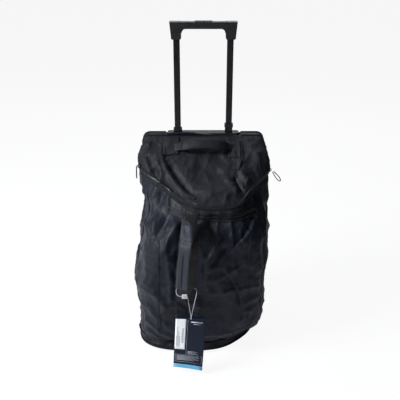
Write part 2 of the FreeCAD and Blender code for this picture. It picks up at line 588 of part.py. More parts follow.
def wheel(side, sign):
    x, y, z = f"{sign} * dims.wheel_x", f"{Y_TUBE} + dims.wheel_y", "dims.wheel_radius"
    upright = Rotation(Vector(0, 0, 1), Vector(1, 0, 0))

    def turned(name, profile):
        body = doc.addObject("PartDesign::Body", name)
        sketch = sketch_on(body, "XZ_Plane", f"{name}_profile")
        polyline(sketch, profile)
        revolve(body, sketch)
        body.Placement = Placement(Vector(), upright)
        put(body, x, y, z)
        return body

    half = "dims.wheel_wide / 2"
    tyre = [("dims.hub_radius", f"-{half} + 1"), ("dims.wheel_radius - 4", f"-{half} + 1"),
            ("dims.wheel_radius", f"-{half} + 6"), ("dims.wheel_radius", f"{half} - 6"),
            ("dims.wheel_radius - 4", f"{half} - 1"), ("dims.hub_radius", f"{half} - 1")]
    keep(f"tyre_{side}", turned(f"tyre_{side}_body", tyre))
    seat, bore = "dims.bearing_diameter / 2", "dims.axle_diameter / 2 + 1.5"
    face = f"({half} - 1)"
    inner = f"({face} - dims.bearing_wide)"
    hub = [(seat, f"-{face}"), ("dims.hub_radius", f"-{face}"), ("dims.hub_radius", face), (seat, face),
           (seat, inner), (bore, inner), (bore, f"-{inner}"), (seat, f"-{inner}")]
    hub_body = turned(f"hub_{side}_body", hub)
    doc.recompute()
    spoke = sketch_on(hub_body, "XY_Plane", f"hub_{side}_window")
    circle(spoke, "dims.hub_window", "dims.hub_window_ring", "0")
    window = pocket(hub_body, spoke, "60", both=True)
    pattern = hub_body.newObject("PartDesign::PolarPattern", f"hub_{side}_windows")
    pattern.Originals = [window]
    pattern.Axis = (spoke, ["N_Axis"])
    pattern.Angle = 360
    pattern.Occurrences = 6
    hub_body.Tip = pattern
    keep(f"hub_{side}", hub_body)
    rings = []
    for i, place in enumerate((f"-{face}", inner)):
        low = f"{x} + {place}"
        ring = rod(f"bearing_{side}_{i}", "dims.bearing_diameter", "dims.bearing_wide", low, y, z,
                   Vector(1, 0, 0))
        hole = rod(f"bearing_hole_{side}_{i}", "dims.axle_diameter + 2 * dims.running_gap",
                   "dims.bearing_wide + 2", f"{low} - 1", y, z, Vector(1, 0, 0))
        rings.append(cut(f"bearing_ring_{side}_{i}", ring, hole))
    keep(f"bearings_{side}", group(f"bearing_pair_{side}", *rings))


def axle(name, sign):
    """The axle's space: from 16 mm inside the middle of the wheel to 22 mm outside it."""
    start = "dims.wheel_x - 16" if sign > 0 else "-dims.wheel_x - 22"
    return rod(name, "dims.axle_diameter", "dims.axle_long", start, f"{Y_TUBE} + dims.wheel_y",
               "dims.wheel_radius", Vector(1, 0, 0))


def wheel_housing(side, sign):
    """A moulded corner that carries the axle in its two cheeks, open downwards and to the back."""
    middle = f"{sign} * (dims.housing_in + dims.housing_out) / 2"
    deep = "dims.housing_back - dims.housing_front"
    shell = block(f"housing_{side}", "dims.housing_out - dims.housing_in", deep,
                  "dims.housing_high - dims.tray_low", middle,
                  f"{Y_TUBE} + (dims.housing_back + dims.housing_front) / 2", "dims.tray_low", 5.0)
    radius = "(dims.wheel_radius + dims.wheel_gap)"
    slot = "dims.wheel_wide + 2 * dims.wheel_gap"
    x0 = f"{sign} * dims.wheel_x - ({slot}) / 2"
    y, z = f"{Y_TUBE} + dims.wheel_y", "dims.wheel_radius"
    well = rod(f"well_{side}", f"2 * {radius}", slot, x0, y, z, Vector(1, 0, 0))
    below = block(f"well_below_{side}", slot, f"2 * {radius}", f"{z} + 1", f"{sign} * dims.wheel_x", y, "-1")
    behind = block(f"well_behind_{side}", slot, radius, f"{radius} * 2", f"{sign} * dims.wheel_x",
                   f"{y} + {radius} / 2", f"{z} - {radius}")
    keep(f"wheel_housing_{side}", cut(f"housing_cut_{side}", shell, well, below, behind,
                                      axle(f"axle_hole_{side}", sign)))


def skid_rails():
    back = f"{Y_TUBE} + dims.board_front + dims.board_thick + dims.fabric_thick"
    rails = []
    for side, sign in SIDES:
        rails.append(block(f"rail_{side}", "dims.rail_wide", "dims.rail_thick",
                           "dims.rail_high - dims.rail_low", f"{sign} * dims.rail_x",
                           f"{back} + dims.rail_thick / 2", "dims.rail_low", 3.5))
    keep("skid_rails", group("rail_pair", *rails))


# ---------------------------------------------------------------- handles

def crescent(half, rise, thick, wide, clear):
    """A strap arch in the local XZ plane: ends at x = 0, z = +-half, and swings about the local Z axis."""
    outer = Part.Arc(Vector(0, 0, -half), Vector(rise, 0, 0), Vector(0, 0, half))
    reach = half - 2 * thick
    inner = Part.Arc(Vector(0, 0, reach), Vector(rise - thick, 0, 0), Vector(0, 0, -reach))
    ends = [Part.LineSegment(Vector(0, 0, half), Vector(0, 0, reach)),
            Part.LineSegment(Vector(0, 0, -reach), Vector(0, 0, -half))]
    wire = Part.Wire([outer.toShape(), ends[0].toShape(), inner.toShape(), ends[1].toShape()])
    arch = Part.Face(wire).extrude(Vector(0, wide, 0))
    arch.translate(Vector(0, -wide / 2, 0))
    return arch.cut(Part.makeBox(400, 400, 800, Vector(clear - 400, -200, -400)))


def carry_handle(bag):
    half, rise, wide = dim("carry_half"), dim("carry_rise"), dim("carry_wide")
    centre = Vector(dim("carry_x"), dim("trolley_y") + dim("carry_axis"), dim("carry_mid"))
    tilt = Rotation(Vector(0, 1, 0), dim("carry_tilt"))
    place = Placement(centre, tilt.multiply(Rotation(Vector(0, 0, 1), -90 - dim("carry_lean"))))
    webbing, clear = dim("webbing"), dim("carry_clear")
    straps = [crescent(half, rise, webbing, wide, clear),
              crescent(half - 12, rise - 2 * webbing, webbing, wide, clear)]
    keep("carry_webbings", solid("webbings", Part.makeCompound(straps), place))
    mid, tall = dim("wrap_mid"), dim("wrap_long")
    thick = dim("wrap_thick")
    sleeve = crescent(half + 10, rise + 3.5, thick, dim("wrap_wide"), clear)
    sleeve.translate(Vector(0, dim("wrap_aside"), 0))
    sleeve = sleeve.common(Part.makeBox(400, 400, tall, Vector(0, -200, mid - tall / 2)))
    for strap in straps:
        sleeve = sleeve.cut(strap)
    keep("handle_wrap", solid("wrap", sleeve, place))
    anchors = []
    across = dim("anchor_wide")
    for sign in (-1, 1):
        low = sign * (half - 12) - 13
        tab = Part.makeCylinder(across / 2, 26, Vector(0, 0, low))
        tab = tab.fuse(Part.makeBox(across, 70, 26, Vector(-across / 2, 0, low)))
        tab = tab.transformGeometry(Placement(centre, tilt).toMatrix())
        tab = tab.cut(bag).cut(pieces["zipper_body_tape"].Shape)
        anchors.append(min(tab.Solids, key=lambda part: part.CenterOfMass.y))
    keep("carry_anchors", solid("anchors", Part.makeCompound(anchors)))


def grab_handle():
    """Padded strap on the lid; it swings about the line through its two sewn ends."""
    slope = math.radians(dim("lid_slope"))
    along, lift = dim("grab_down"), dim("grab_lift")
    y = dim("trolley_y") + dim("hinge_back") - along * math.cos(slope) - lift * math.sin(slope)
    z = dim("hinge_high") - along * math.sin(slope) + lift * math.cos(slope)
    arch = crescent(dim("grab_half"), dim("grab_rise"), dim("grab_thick"), dim("grab_wide"), dim("grab_clear"))
    angle = math.radians(dim("grab_lean") - dim("lid_slope"))
    rise, along_x = Vector(0, -math.cos(angle), math.sin(angle)), Vector(1, 0, 0)
    turn = Rotation(rise, along_x.cross(rise), along_x, "XZY")
    keep("grab_handle", solid("grab", arch, Placement(Vector(0, y, z), turn)))


# ---------------------------------------------------------------- zip, cords and tag

def path_of(points):
    """Straight runs joined by tangent arcs of 0.45 of the shorter run; prints the tightest arc."""
    edges, radii = [], []
    start = points[0]
    for before, here, after in zip(points, points[1:], points[2:]):
        run_in, run_out = here - before, after - here
        turn = run_in.getAngle(run_out)
        radius = 0.45 * min(run_in.Length, run_out.Length) / math.tan(turn / 2)
        reach = radius * math.tan(turn / 2)
        first = here - run_in.normalize() * reach
        last = here + run_out.normalize() * reach
        towards = (first + last) * 0.5 - here
        centre_distance = radius / math.cos(turn / 2)
        middle = here + towards.normalize() * (centre_distance - radius)
        edges.append(Part.LineSegment(start, first).toShape())
        edges.append(Part.Arc(first, middle, last).toShape())
        radii.append(radius)
        start = last
    edges.append(Part.LineSegment(start, points[-1]).toShape())
    return Part.Wire(edges), radii


def cord(name, points, diameter):
    wire, radii = path_of([Vector(*p) for p in points])
    direction = Vector(*points[1]) - Vector(*points[0])
    circle_face = Part.Wire(Part.Circle(Vector(*points[0]), direction, diameter / 2).toShape())
    tube = wire.makePipeShell([circle_face], True, True)
    expected = math.pi * diameter ** 2 / 4 * wire.Length
    print(f"{name}: length {wire.Length:.1f}, radii {[round(r, 1) for r in radii]}, "
          f"volume ratio {tube.Volume / expected:.3f}")
    return keep(name, solid(f"{name}_tube", tube))


# Where each zip slider sits on the bag's side (y from the tubes), which way its cord pull lies, and which
# way that loop is wide
PULLS = {"left": ((-194.0, -88.0, 545.0), (0.0, -0.25, -0.97), (0.0, 0.97, -0.25)),
         "right": ((194.0, -92.0, 530.0), (0.62, -0.33, -0.71), (0.78, 0.26, 0.56))}


def zip_hardware():
    y0 = dim("trolley_y")
    half, long = dim("pull_half"), dim("pull_long")
    tape_face = bag_loft(-dim("tape_thick") - dim("slider_gap"))
    sliders = []
    # share of the length, share of the half width
    outline = ((0.0, -0.4), (0.34, -0.8), (0.66, -1.0), (0.9, -0.7), (1.0, 0.0), (0.9, 0.7), (0.66, 1.0),
               (0.34, 0.8), (0.0, 0.4))
    for side, (centre, down, wide) in PULLS.items():
        middle = Vector(*centre) + Vector(0, y0, 0)
        size = Vector(dim("slider_thick"), dim("slider_long"), dim("slider_tall"))
        slider = Part.makeBox(*size, middle - size / 2)
        sliders.append(slider.makeFillet(1.5, slider.Edges).cut(tape_face))
        down, wide = Vector(*down).normalize(), Vector(*wide).normalize()
        sign = 1 if side == "right" else -1
        start = middle + Vector(sign * 5.2, 0, 0) + down * 3
        cord(f"zip_pull_{side}", [start + down * (long * share) + wide * (half * across)
                                  for share, across in outline], dim("pull_cord"))
    keep("zip_sliders", solid("slider_pair", Part.makeCompound(sliders)))


def zip_tapes(bag):
    """The two halves of the zip, thin bands that stand just proud of the bag along its mouth."""
    y0, gap, deep = dim("trolley_y"), dim("seam_gap"), dim("tape_deep")
    mouth_y, mouth_z, slope = y0 + dim("mouth_front"), dim("mouth_front_z"), dim("mouth_slope")
    skin = bag_loft(-dim("tape_thick")).cut(bag)
    ahead = Part.makeBox(1000, 1000, 1000, Vector(-500, y0 + dim("zip_back") - 1000, 0))
    skin = skin.common(ahead)
    for name, low in (("zipper_body_tape", -gap - deep), ("zipper_lid_tape", 0.0)):
        band = skin.common(half_space(mouth_y, mouth_z + low, slope, True))
        keep(name, solid(f"{name}_band", band.common(half_space(mouth_y, mouth_z + low + deep, slope, False))))


# Route of the tag's string (y from the tubes): from the right end of the seal down to the eyelet of the card,
# through it from the back to the front, up to the right of the webbings, round behind them and into the left
# end of the seal
TAG_STRING = ((-43.0, -344.5, 268.0), (-41.0, -343.0, 252.0), (-37.0, -338.0, 215.0), (-34.6, -333.0, 196.0),
              (-34.2, -333.0, 187.0), (-34.0, -337.6, 187.0), (-33.4, -338.0, 197.0), (-30.5, -340.5, 215.0),
              (-24.5, -343.0, 247.0), (-19.5, -341.0, 270.0), (-17.5, -332.0, 277.0), (-22.0, -315.0, 276.0),
              (-45.0, -304.0, 274.0), (-70.0, -307.0, 274.0), (-82.0, -322.0, 274.0), (-80.0, -339.0, 271.0),
              (-70.0, -344.5, 268.0), (-59.0, -344.5, 268.0))


def tag():
    y0 = dim("trolley_y")
    body = doc.addObject("PartDesign::Body", "tag_card")
    outline = sketch_on(body, "XZ_Plane", "card_outline")
    half = "dims.tag_wide / 2"
    polyline(outline, [(f"-{half}", "-dims.tag_tall"), (half, "-dims.tag_tall"), (half, "5"),
                       (f"-{half}", "5")])
    pad(body, outline, "dims.tag_thick")
    doc.recompute()
    hole = sketch_on(body, "XZ_Plane", "card_eyelet")
    circle(hole, "dims.eyelet / 2", "0", "-dims.eyelet_down")
    pocket(body, hole, "10", both=True)
    body.Placement = Placement(Vector(), Rotation(Vector(0, 1, 0), dim("tag_lean")))
    put(body, "dims.tag_x", "dims.trolley_y + dims.tag_front", "dims.tag_top")
    keep("hang_tag", body)
    size = Vector(dim("seal_wide"), dim("seal_deep"), dim("seal_tall"))
    low = Vector(dim("seal_x") - size.x / 2, y0 + dim("seal_y") - size.y / 2, dim("seal_low"))
    seal = Part.makeBox(*size, low)
    upright = [e for e in seal.Edges if abs(e.tangentAt(0).z) > 0.9]
    keep("tag_seal", solid("seal", seal.makeFillet(1.2, upright)))
    cord("tag_string", [Vector(x, y0 + y, z) for x, y, z in TAG_STRING], dim("string_diameter"))


for side_name, side_sign in SIDES:
    trolley_tubes(side_name, side_sign)
    inner_stage(side_name, side_sign)
    wheel(side_name, side_sign)
    wheel_housing(side_name, side_sign)
keep("axles", group("axle_pair", *[axle(f"axle_{name}", sign) for name, sign in SIDES]))
trolley_fixings()
grip()
release()
bag_form = soft_bag()
back_sheets()
base_tray()
feet_and_screws()
skid_rails()
zip_tapes(bag_form)
zip_hardware()
carry_handle(bag_form)
grab_handle()
tag()

doc.recompute()
for obj in doc.Objects:
    if "Invalid" in obj.State or "Error" in obj.State:
        raise RuntimeError(f"{obj.Name} failed: {obj.State}")
for name, obj in pieces.items():
    if obj.Shape.isNull() or not obj.Shape.isValid():
        raise RuntimeError(f"{name} has no valid shape")
for name, obj in pieces.items():
    obj.Shape.exportStep(os.path.join("parts", f"{name}.step"))
    box = obj.Shape.BoundBox
    spans = ((box.XMin, box.XMax), (box.YMin, box.YMax), (box.ZMin, box.ZMax))
    print(f"{name:24s} solids {len(obj.Shape.Solids)}", " ".join(f"{a:.1f} {b:.1f}" for a, b in spans),
          f"volume {obj.Shape.Volume:.0f}")
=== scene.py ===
import math

import bmesh
import bpy
import numpy as np
from mathutils import Matrix, Vector, noise
from mathutils.bvhtree import BVHTree


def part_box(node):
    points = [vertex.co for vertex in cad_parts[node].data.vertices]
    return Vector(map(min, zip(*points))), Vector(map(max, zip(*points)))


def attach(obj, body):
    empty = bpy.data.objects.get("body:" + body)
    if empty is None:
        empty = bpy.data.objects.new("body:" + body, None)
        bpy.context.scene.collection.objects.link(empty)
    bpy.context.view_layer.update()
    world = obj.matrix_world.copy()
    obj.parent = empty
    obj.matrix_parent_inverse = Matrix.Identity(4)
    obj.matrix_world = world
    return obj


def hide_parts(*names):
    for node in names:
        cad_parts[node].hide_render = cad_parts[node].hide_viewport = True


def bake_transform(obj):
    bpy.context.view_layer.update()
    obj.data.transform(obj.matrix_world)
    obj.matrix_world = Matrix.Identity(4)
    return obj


# A soft, slumped, upright rolling bag round its telescopic trolley. Metres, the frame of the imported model:
# +Z up, the front faces -Y. Heights and widths of the soft parts are given from the plane of the tubes.

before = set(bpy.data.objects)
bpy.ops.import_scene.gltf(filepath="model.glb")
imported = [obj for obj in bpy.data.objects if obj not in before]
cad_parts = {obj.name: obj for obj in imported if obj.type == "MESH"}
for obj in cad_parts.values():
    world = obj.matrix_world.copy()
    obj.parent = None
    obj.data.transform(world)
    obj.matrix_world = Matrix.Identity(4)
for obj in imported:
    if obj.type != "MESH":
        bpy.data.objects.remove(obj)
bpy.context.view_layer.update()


def middle(node):
    low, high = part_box(node)
    return (low + high) / 2


TUBE_Y = middle("outer_tube_left").y


def at(x, y, z):
    """A point given from the tubes' plane, in millimetres."""
    return Vector((x / 1000, TUBE_Y + y / 1000, z / 1000))


# ---------------------------------------------------------------- camera

LENS, SENSOR = 53.73, 36.0
CAMERA_PLACE, CAMERA_PITCH = (-9.5, -1690, 1182), 65


def add_camera():
    data = bpy.data.cameras.new("front_camera")
    data.lens, data.sensor_width = LENS, SENSOR
    camera = bpy.data.objects.new("front_camera", data)
    bpy.context.scene.collection.objects.link(camera)
    camera.location = at(*CAMERA_PLACE)
    camera.rotation_euler = (math.radians(CAMERA_PITCH), 0, 0)
    bpy.context.scene.camera = camera


add_camera()


# ---------------------------------------------------------------- cords

# Routes of the tag's string, both ends in its seal, and of the cord loops on the zip's two sliders
TAG_STRING = ((-43.0, -344.5, 268), (-41, -343, 252), (-37, -338, 215), (-34.6, -333, 196),
              (-34.2, -333, 187), (-34, -337.6, 187), (-33.4, -338, 197), (-30.5, -340.5, 215),
              (-24.5, -343, 247),
              (-19.5, -341, 270), (-17.5, -332, 277), (-22, -315, 276), (-45, -302, 274), (-68, -304, 274),
              (-75, -320, 274), (-74, -337, 271), (-67, -343.5, 268.5), (-59, -344.5, 268))
STRING_LENGTH, STRING_WIDTH = 0.3037, 0.0012
PULLS = (("left", (-194, -88, 545), (0, -0.25, -0.97), (0, 0.97, -0.25)),
         ("right", (194, -92, 530), (0.62, -0.33, -0.71), (0.78, 0.26, 0.56)))
# How far to the right of its centre a pull starts, and how far along the way it hangs
PULL_SHIFT, PULL_BELOW = {"left": 1.3, "right": 5.2}, 3
PULL_LOOP = ((0, -0.4), (0.34, -0.8), (0.66, -1), (0.9, -0.7), (1, 0), (0.9, 0.7), (0.66, 1), (0.34, 0.8),
             (0, 0.4))
PULL_REACH, PULL_SPREAD = 35, 4.6
PULL_LENGTH, PULL_WIDTH = 0.0717, 0.0026


def cord_curve(name, points, diameter):
    """A round cord whose line is a smooth spline with the route's points as its control points."""
    data = bpy.data.curves.new(name, "CURVE")
    data.dimensions = "3D"
    route = data.splines.new("NURBS")
    route.points.add(len(points) - 1)
    for point, place in zip(route.points, points):
        point.co = (*place, 1)
    route.order_u = 3
    route.use_endpoint_u = True
    route.resolution_u = 12
    data.bevel_depth, data.bevel_resolution = diameter / 2, 3
    data.use_fill_caps = True
    piece = bpy.data.objects.new(name, data)
    bpy.context.scene.collection.objects.link(piece)
    return piece


def pull_route(side, centre, down, wide):
    """A flat loop of cord that hangs along down and opens along wide."""
    down, wide = Vector(down).normalized(), Vector(wide).normalized()
    start = Vector(centre) + Vector((PULL_SHIFT[side], 0, 0)) + down * PULL_BELOW
    return [at(*(start + down * (PULL_REACH * along) + wide * (PULL_SPREAD * across)))
            for along, across in PULL_LOOP]


string_points = [at(*point) for point in TAG_STRING]
tag_string = cord_curve("tag_string_visual", string_points, STRING_WIDTH)
pull_cords = {side: cord_curve("pull_cord_" + side, pull_route(side, centre, down, wide), PULL_WIDTH)
              for side, centre, down, wide in PULLS}


# ---------------------------------------------------------------- materials

def nodes_of(name):
    material = bpy.data.materials.new(name)
    material.use_nodes = True
    tree = material.node_tree
    shader = tree.nodes["Principled BSDF"]
    return material, tree, shader


def add(tree, kind, **settings):
    node = tree.nodes.new(kind)
    for key, value in settings.items():
        if key in node.inputs:
            node.inputs[key].default_value = value
        else:
            setattr(node, key, value)
    return node


def noise_node(tree, scale, detail=4.0, roughness=0.55, stretch=(1, 1, 1)):
    coords = add(tree, "ShaderNodeTexCoord")
    mapping = add(tree, "ShaderNodeMapping")
    mapping.inputs["Scale"].default_value = stretch
    texture = add(tree, "ShaderNodeTexNoise", Scale=scale, Detail=detail, Roughness=roughness)
    tree.links.new(coords.outputs["Object"], mapping.inputs["Vector"])
    tree.links.new(mapping.outputs["Vector"], texture.inputs["Vector"])
    return texture


def ramp(tree, source, low, high):
    """A colour or grey between two values, driven by a factor."""
    node = add(tree, "ShaderNodeValToRGB")
    node.color_ramp.elements[0].position, node.color_ramp.elements[1].position = 0.3, 0.7
    node.color_ramp.elements[0].color = (*low, 1)
    node.color_ramp.elements[1].color = (*high, 1)
    tree.links.new(source, node.inputs["Fac"])
    return node.outputs["Color"]


def bump_chain(tree, shader, *heights):
    """Adds up bumps given as (output, strength, distance)."""
    before = None
    for output, strength, distance in heights:
        bump = add(tree, "ShaderNodeBump", Strength=strength, Distance=distance)
        tree.links.new(output, bump.inputs["Height"])
        if before is not None:
            tree.links.new(before, bump.inputs["Normal"])
        before = bump.outputs["Normal"]
    tree.links.new(before, shader.inputs["Normal"])


def wave_scale(pitch):
    """The wave texture's scale for bands of a pitch in metres."""
    return 1 / pitch / 20 * 2 * math.pi


def woven(tree, pitch):
    """Warp and weft in three directions of space, as a height."""
    coords = add(tree, "ShaderNodeTexCoord")
    waves = []
    for direction in ("X", "Y", "Z"):
        wave = add(tree, "ShaderNodeTexWave", Scale=wave_scale(pitch), Distortion=0.6, Detail=1.0)
        wave.bands_direction = direction
        wave.inputs["Detail Scale"].default_value = 3.0
        tree.links.new(coords.outputs["Object"], wave.inputs["Vector"])
        waves.append(wave.outputs["Fac"])
    height = waves[0]
    for other in waves[1:]:
        total = add(tree, "ShaderNodeMath", operation="ADD")
        tree.links.new(height, total.inputs[0])
        tree.links.new(other, total.inputs[1])
        height = total.outputs[0]
    return height


def coloured(name, dark, light, *cloud):
    """A material whose colour drifts between two values over a cloud: its scale, detail and roughness."""
    material, tree, shader = nodes_of(name)
    shade = ramp(tree, noise_node(tree, *cloud).outputs["Fac"], dark, light)
    tree.links.new(shade, shader.inputs["Base Color"])
    return material, tree, shader


def roughened(tree, shader, texture, low, high):
    grey = ramp(tree, texture.outputs["Fac"], (low,) * 3, (high,) * 3)
    tree.links.new(grey, shader.inputs["Roughness"])


def nylon(name, dark, light, roughness=0.46, sheen=0.0, crinkle=0.5):
    """Coated nylon: fine weave and small crinkles."""
    material, tree, shader = coloured(name, dark, light, 9.0, 5.0)
    roughened(tree, shader, noise_node(tree, 26.0, 3.0), roughness - 0.06, roughness + 0.08)
    shader.inputs["Sheen Weight"].default_value = sheen
    shader.inputs["Sheen Roughness"].default_value = 0.45
    shader.inputs["Specular IOR Level"].default_value = 0.14
    fine = noise_node(tree, 240.0, 3.0)
    folds = noise_node(tree, 38.0, 5.0, 0.6)
    bump_chain(tree, shader, (folds.outputs["Fac"], crinkle, 0.006), (fine.outputs["Fac"], 0.3, 0.0006),
               (woven(tree, 0.0011), 0.12, 0.0002))
    return material


def ribbed(name, dark, light, pitch=0.0016, roughness=0.62):
    """Webbing, tape or cord with close ribs."""
    material, tree, shader = coloured(name, dark, light, 60.0, 4.0)
    shader.inputs["Roughness"].default_value = roughness
    shader.inputs["Specular IOR Level"].default_value = 0.2
    coords = add(tree, "ShaderNodeTexCoord")
    wave = add(tree, "ShaderNodeTexWave", Scale=wave_scale(pitch), Distortion=0.4, Detail=1.0)
    wave.bands_direction = "Z"
    tree.links.new(coords.outputs["Object"], wave.inputs["Vector"])
    fine = noise_node(tree, 500.0, 2.0)
    bump_chain(tree, shader, (wave.outputs["Fac"], 0.5, 0.0004), (fine.outputs["Fac"], 0.3, 0.0003))
    return material


def moulded(name, dark, light, roughness=0.5, grain=0.35, scale=900.0, specular=0.3):
    """Moulded plastic, rubber or card with a fine grain and slight wear."""
    material, tree, shader = coloured(name, dark, light, 30.0, 6.0, 0.65)
    roughened(tree, shader, noise_node(tree, 70.0, 6.0, 0.7), roughness - 0.08, roughness + 0.1)
    shader.inputs["Specular IOR Level"].default_value = specular
    texture = noise_node(tree, scale, 2.0)
    bump_chain(tree, shader, (texture.outputs["Fac"], grain, 0.0003))
    return material


def metal(name, dark, light, roughness=0.35, metallic=1.0, stretch=(1, 1, 0.04)):
    """Drawn or coated metal with lengthwise brush marks."""
    material, tree, shader = coloured(name, dark, light, 22.0, 4.0)
    lines = noise_node(tree, 900.0, 4.0, 0.6, stretch)
    roughened(tree, shader, lines, roughness - 0.07, roughness + 0.1)
    shader.inputs["Metallic"].default_value = metallic
    shader.inputs["Specular IOR Level"].default_value = 0.25
    bump_chain(tree, shader, (lines.outputs["Fac"], 0.12, 0.0001))
    return material


BODY_NYLON = nylon("body_nylon", (0.0040, 0.0047, 0.0080), (0.0076, 0.0087, 0.0138), 0.52)
LID_NYLON = nylon("lid_nylon", (0.0058, 0.0062, 0.0082), (0.0100, 0.0106, 0.0130), 0.58)
# Painted light on the carry handle's sleeve: a lighter copy of the nylon as painted light on its face towards
# the key lamp, and a darker brownish copy as painted shade on its right side
LIT_FACE_NYLON = nylon("lit_face_nylon", (0.0130, 0.0142, 0.0195), (0.0190, 0.0205, 0.0270), 0.55, 0.0, 0.35)
SHADED_WRAP_NYLON = nylon("shaded_wrap_nylon", (0.0085, 0.0072, 0.0068), (0.0140, 0.0118, 0.0108), 0.6, 0.0, 0.3)
# Painted shade: a darker copy of the nylon for the flap over the sleeve's upper end
SHADED_CUFF_NYLON = nylon("shaded_cuff_nylon", (0.0030, 0.0034, 0.0050), (0.0056, 0.0062, 0.0085), 0.62, 0.0, 0.3)
LINING = nylon("lining", (0.02, 0.02, 0.023), (0.032, 0.032, 0.036), 0.6, 0.05, 0.3)
WEBBING = ribbed("webbing", (0.0035, 0.0038, 0.0050), (0.0072, 0.0076, 0.0095))
PIPING = ribbed("piping", (0.0022, 0.0022, 0.0028), (0.0048, 0.0048, 0.0058), 0.0012, 0.5)
ZIP_TAPE = ribbed("zip_tape", (0.0022, 0.0022, 0.0028), (0.0045, 0.0045, 0.0055), 0.0012, 0.7)
THREAD = ribbed("thread", (0.012, 0.0125, 0.016), (0.022, 0.023, 0.028), 0.0008, 0.6)
CORD = ribbed("pull_cord", (0.0025, 0.0025, 0.003), (0.007, 0.007, 0.0085), 0.0012, 0.55)
STRING = ribbed("string", (0.42, 0.43, 0.45), (0.56, 0.57, 0.59), 0.0006, 0.5)
COIL = moulded("zip_coil", (0.010, 0.010, 0.012), (0.018, 0.018, 0.021), 0.32, 0.1)
TUBE = metal("black_tube", (0.003, 0.003, 0.0036), (0.0075, 0.0075, 0.0088), 0.30, 0.2)
STEEL = metal("zinc_steel", (0.42, 0.42, 0.44), (0.6, 0.6, 0.62), 0.3)
ENAMEL = metal("black_enamel", (0.010, 0.010, 0.012), (0.022, 0.022, 0.025), 0.28, 0.4, (1, 1, 1))
GRIP = moulded("grip_plastic", (0.003, 0.003, 0.0035), (0.007, 0.007, 0.008), 0.42)
FITTING = moulded("fitting_plastic", (0.003, 0.003, 0.0035), (0.0075, 0.0075, 0.0082), 0.45)
BASE = moulded("base_plastic", (0.006, 0.006, 0.007), (0.014, 0.014, 0.015), 0.55, 0.6, 500.0)
BUTTON = moulded("button_plastic", (0.02, 0.02, 0.022), (0.032, 0.032, 0.035), 0.35, 0.1)
RUBBER = moulded("tyre_rubber", (0.010, 0.010, 0.011), (0.022, 0.021, 0.021), 0.75, 0.5, 600.0)
HUB = moulded("hub_plastic", (0.03, 0.03, 0.032), (0.05, 0.05, 0.054), 0.3, 0.1)
SEAL = moulded("seal_plastic", (0.34, 0.35, 0.36), (0.46, 0.47, 0.48), 0.3, 0.1)
CARD = moulded("tag_card", (0.003, 0.0058, 0.0145), (0.0048, 0.0086, 0.0195), 0.35, 0.08, 300.0, 0.12)
CARD_BLUE = moulded("tag_blue", (0.07, 0.27, 0.43), (0.09, 0.31, 0.48), 0.35, 0.05, 300.0)
CARD_WHITE = moulded("tag_white", (0.66, 0.66, 0.66), (0.72, 0.72, 0.72), 0.4, 0.05, 300.0)
CARD_INK = moulded("tag_ink", (0.05, 0.05, 0.055), (0.08, 0.08, 0.085), 0.5, 0.05, 300.0)
CARD_PRINT = moulded("tag_print", (0.30, 0.32, 0.35), (0.42, 0.44, 0.47), 0.4, 0.05, 300.0)

CAD_MATERIALS = {
    TUBE: ("outer_tube_left", "outer_tube_right", "middle_tube_left", "middle_tube_right",
           "inner_tube_left", "inner_tube_right"),
    FITTING: ("middle_collar_left", "middle_collar_right", "middle_plug_left", "middle_plug_right",
              "inner_plug_left", "inner_plug_right", "trolley_bezel", "trolley_foot_bracket",
              "release_crossbar"),
    GRIP: ("grip_bar", "grip_block_left", "grip_block_right"),
    BUTTON: ("release_button",),
    BASE: ("base_tray", "wheel_housing_left", "wheel_housing_right", "skid_rails", "back_board"),
    RUBBER: ("tyre_left", "tyre_right", "front_feet"),
    HUB: ("hub_left", "hub_right"),
    STEEL: ("bracket_rivets", "grip_screws", "push_rods", "button_spring", "pin_springs", "lock_pin_left",
            "lock_pin_right", "base_screws", "bearings_left", "bearings_right", "axles"),
    LINING: ("trolley_liner",),
}
for cad_material, names in CAD_MATERIALS.items():
    for node_name in names:
        for material_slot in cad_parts[node_name].material_slots:
            material_slot.material = cad_material


# ---------------------------------------------------------------- mesh helpers

def link(name, mesh, *materials):
    obj = bpy.data.objects.new(name, mesh)
    bpy.context.scene.collection.objects.link(obj)
    for material in materials:
        mesh.materials.append(material)
    return obj


def finish_piece(obj, body, slot, *replaced):
    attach(obj, body)
    if replaced:
        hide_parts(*replaced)
    return obj


def smooth_faces(mesh):
    mesh.polygons.foreach_set("use_smooth", [True] * len(mesh.polygons))


def grid(name, points, *materials, closed=False):
    """A smooth sheet of quads over rows of points."""
    points = np.asarray(points, float)
    rows, columns = points.shape[:2]
    faces = []
    across = columns if closed else columns - 1
    for r in range(rows - 1):
        for c in range(across):
            d = (c + 1) % columns
            faces.append((r * columns + c, r * columns + d, (r + 1) * columns + d, (r + 1) * columns + c))
    mesh = bpy.data.meshes.new(name)
    mesh.from_pydata([tuple(p) for p in points.reshape(-1, 3)], [], faces)
    mesh.update()
    smooth_faces(mesh)
    return link(name, mesh, *materials)


def apply_modifiers(obj):
    graph = bpy.context.evaluated_depsgraph_get()
    mesh = bpy.data.meshes.new_from_object(obj.evaluated_get(graph))
    obj.modifiers.clear()
    obj.data = mesh
    return obj


def thicken(obj, thickness, offset=-1.0, rim=0):
    """Gives a sheet its thickness; the inside takes the second material, and the rim too if rim is 1."""
    modifier = obj.modifiers.new("thickness", "SOLIDIFY")
    modifier.thickness, modifier.offset = thickness, offset
    modifier.use_even_offset = False
    if len(obj.data.materials) > 1:
        modifier.material_offset = 1
        modifier.material_offset_rim = rim
    return apply_modifiers(obj)


def run_of(points):
    """The length along a path up to each of its points."""
    return np.concatenate([[0], np.cumsum(np.linalg.norm(np.diff(points, axis=0), axis=1))])


def value_at(length, lengths, values):
    """Columns of values, read at a length along their path."""
    return np.array([np.interp(length, lengths, column) for column in values.T])


def resample(points, count):
    lengths = run_of(points)
    return value_at(np.linspace(0, lengths[-1], count), lengths, points).T


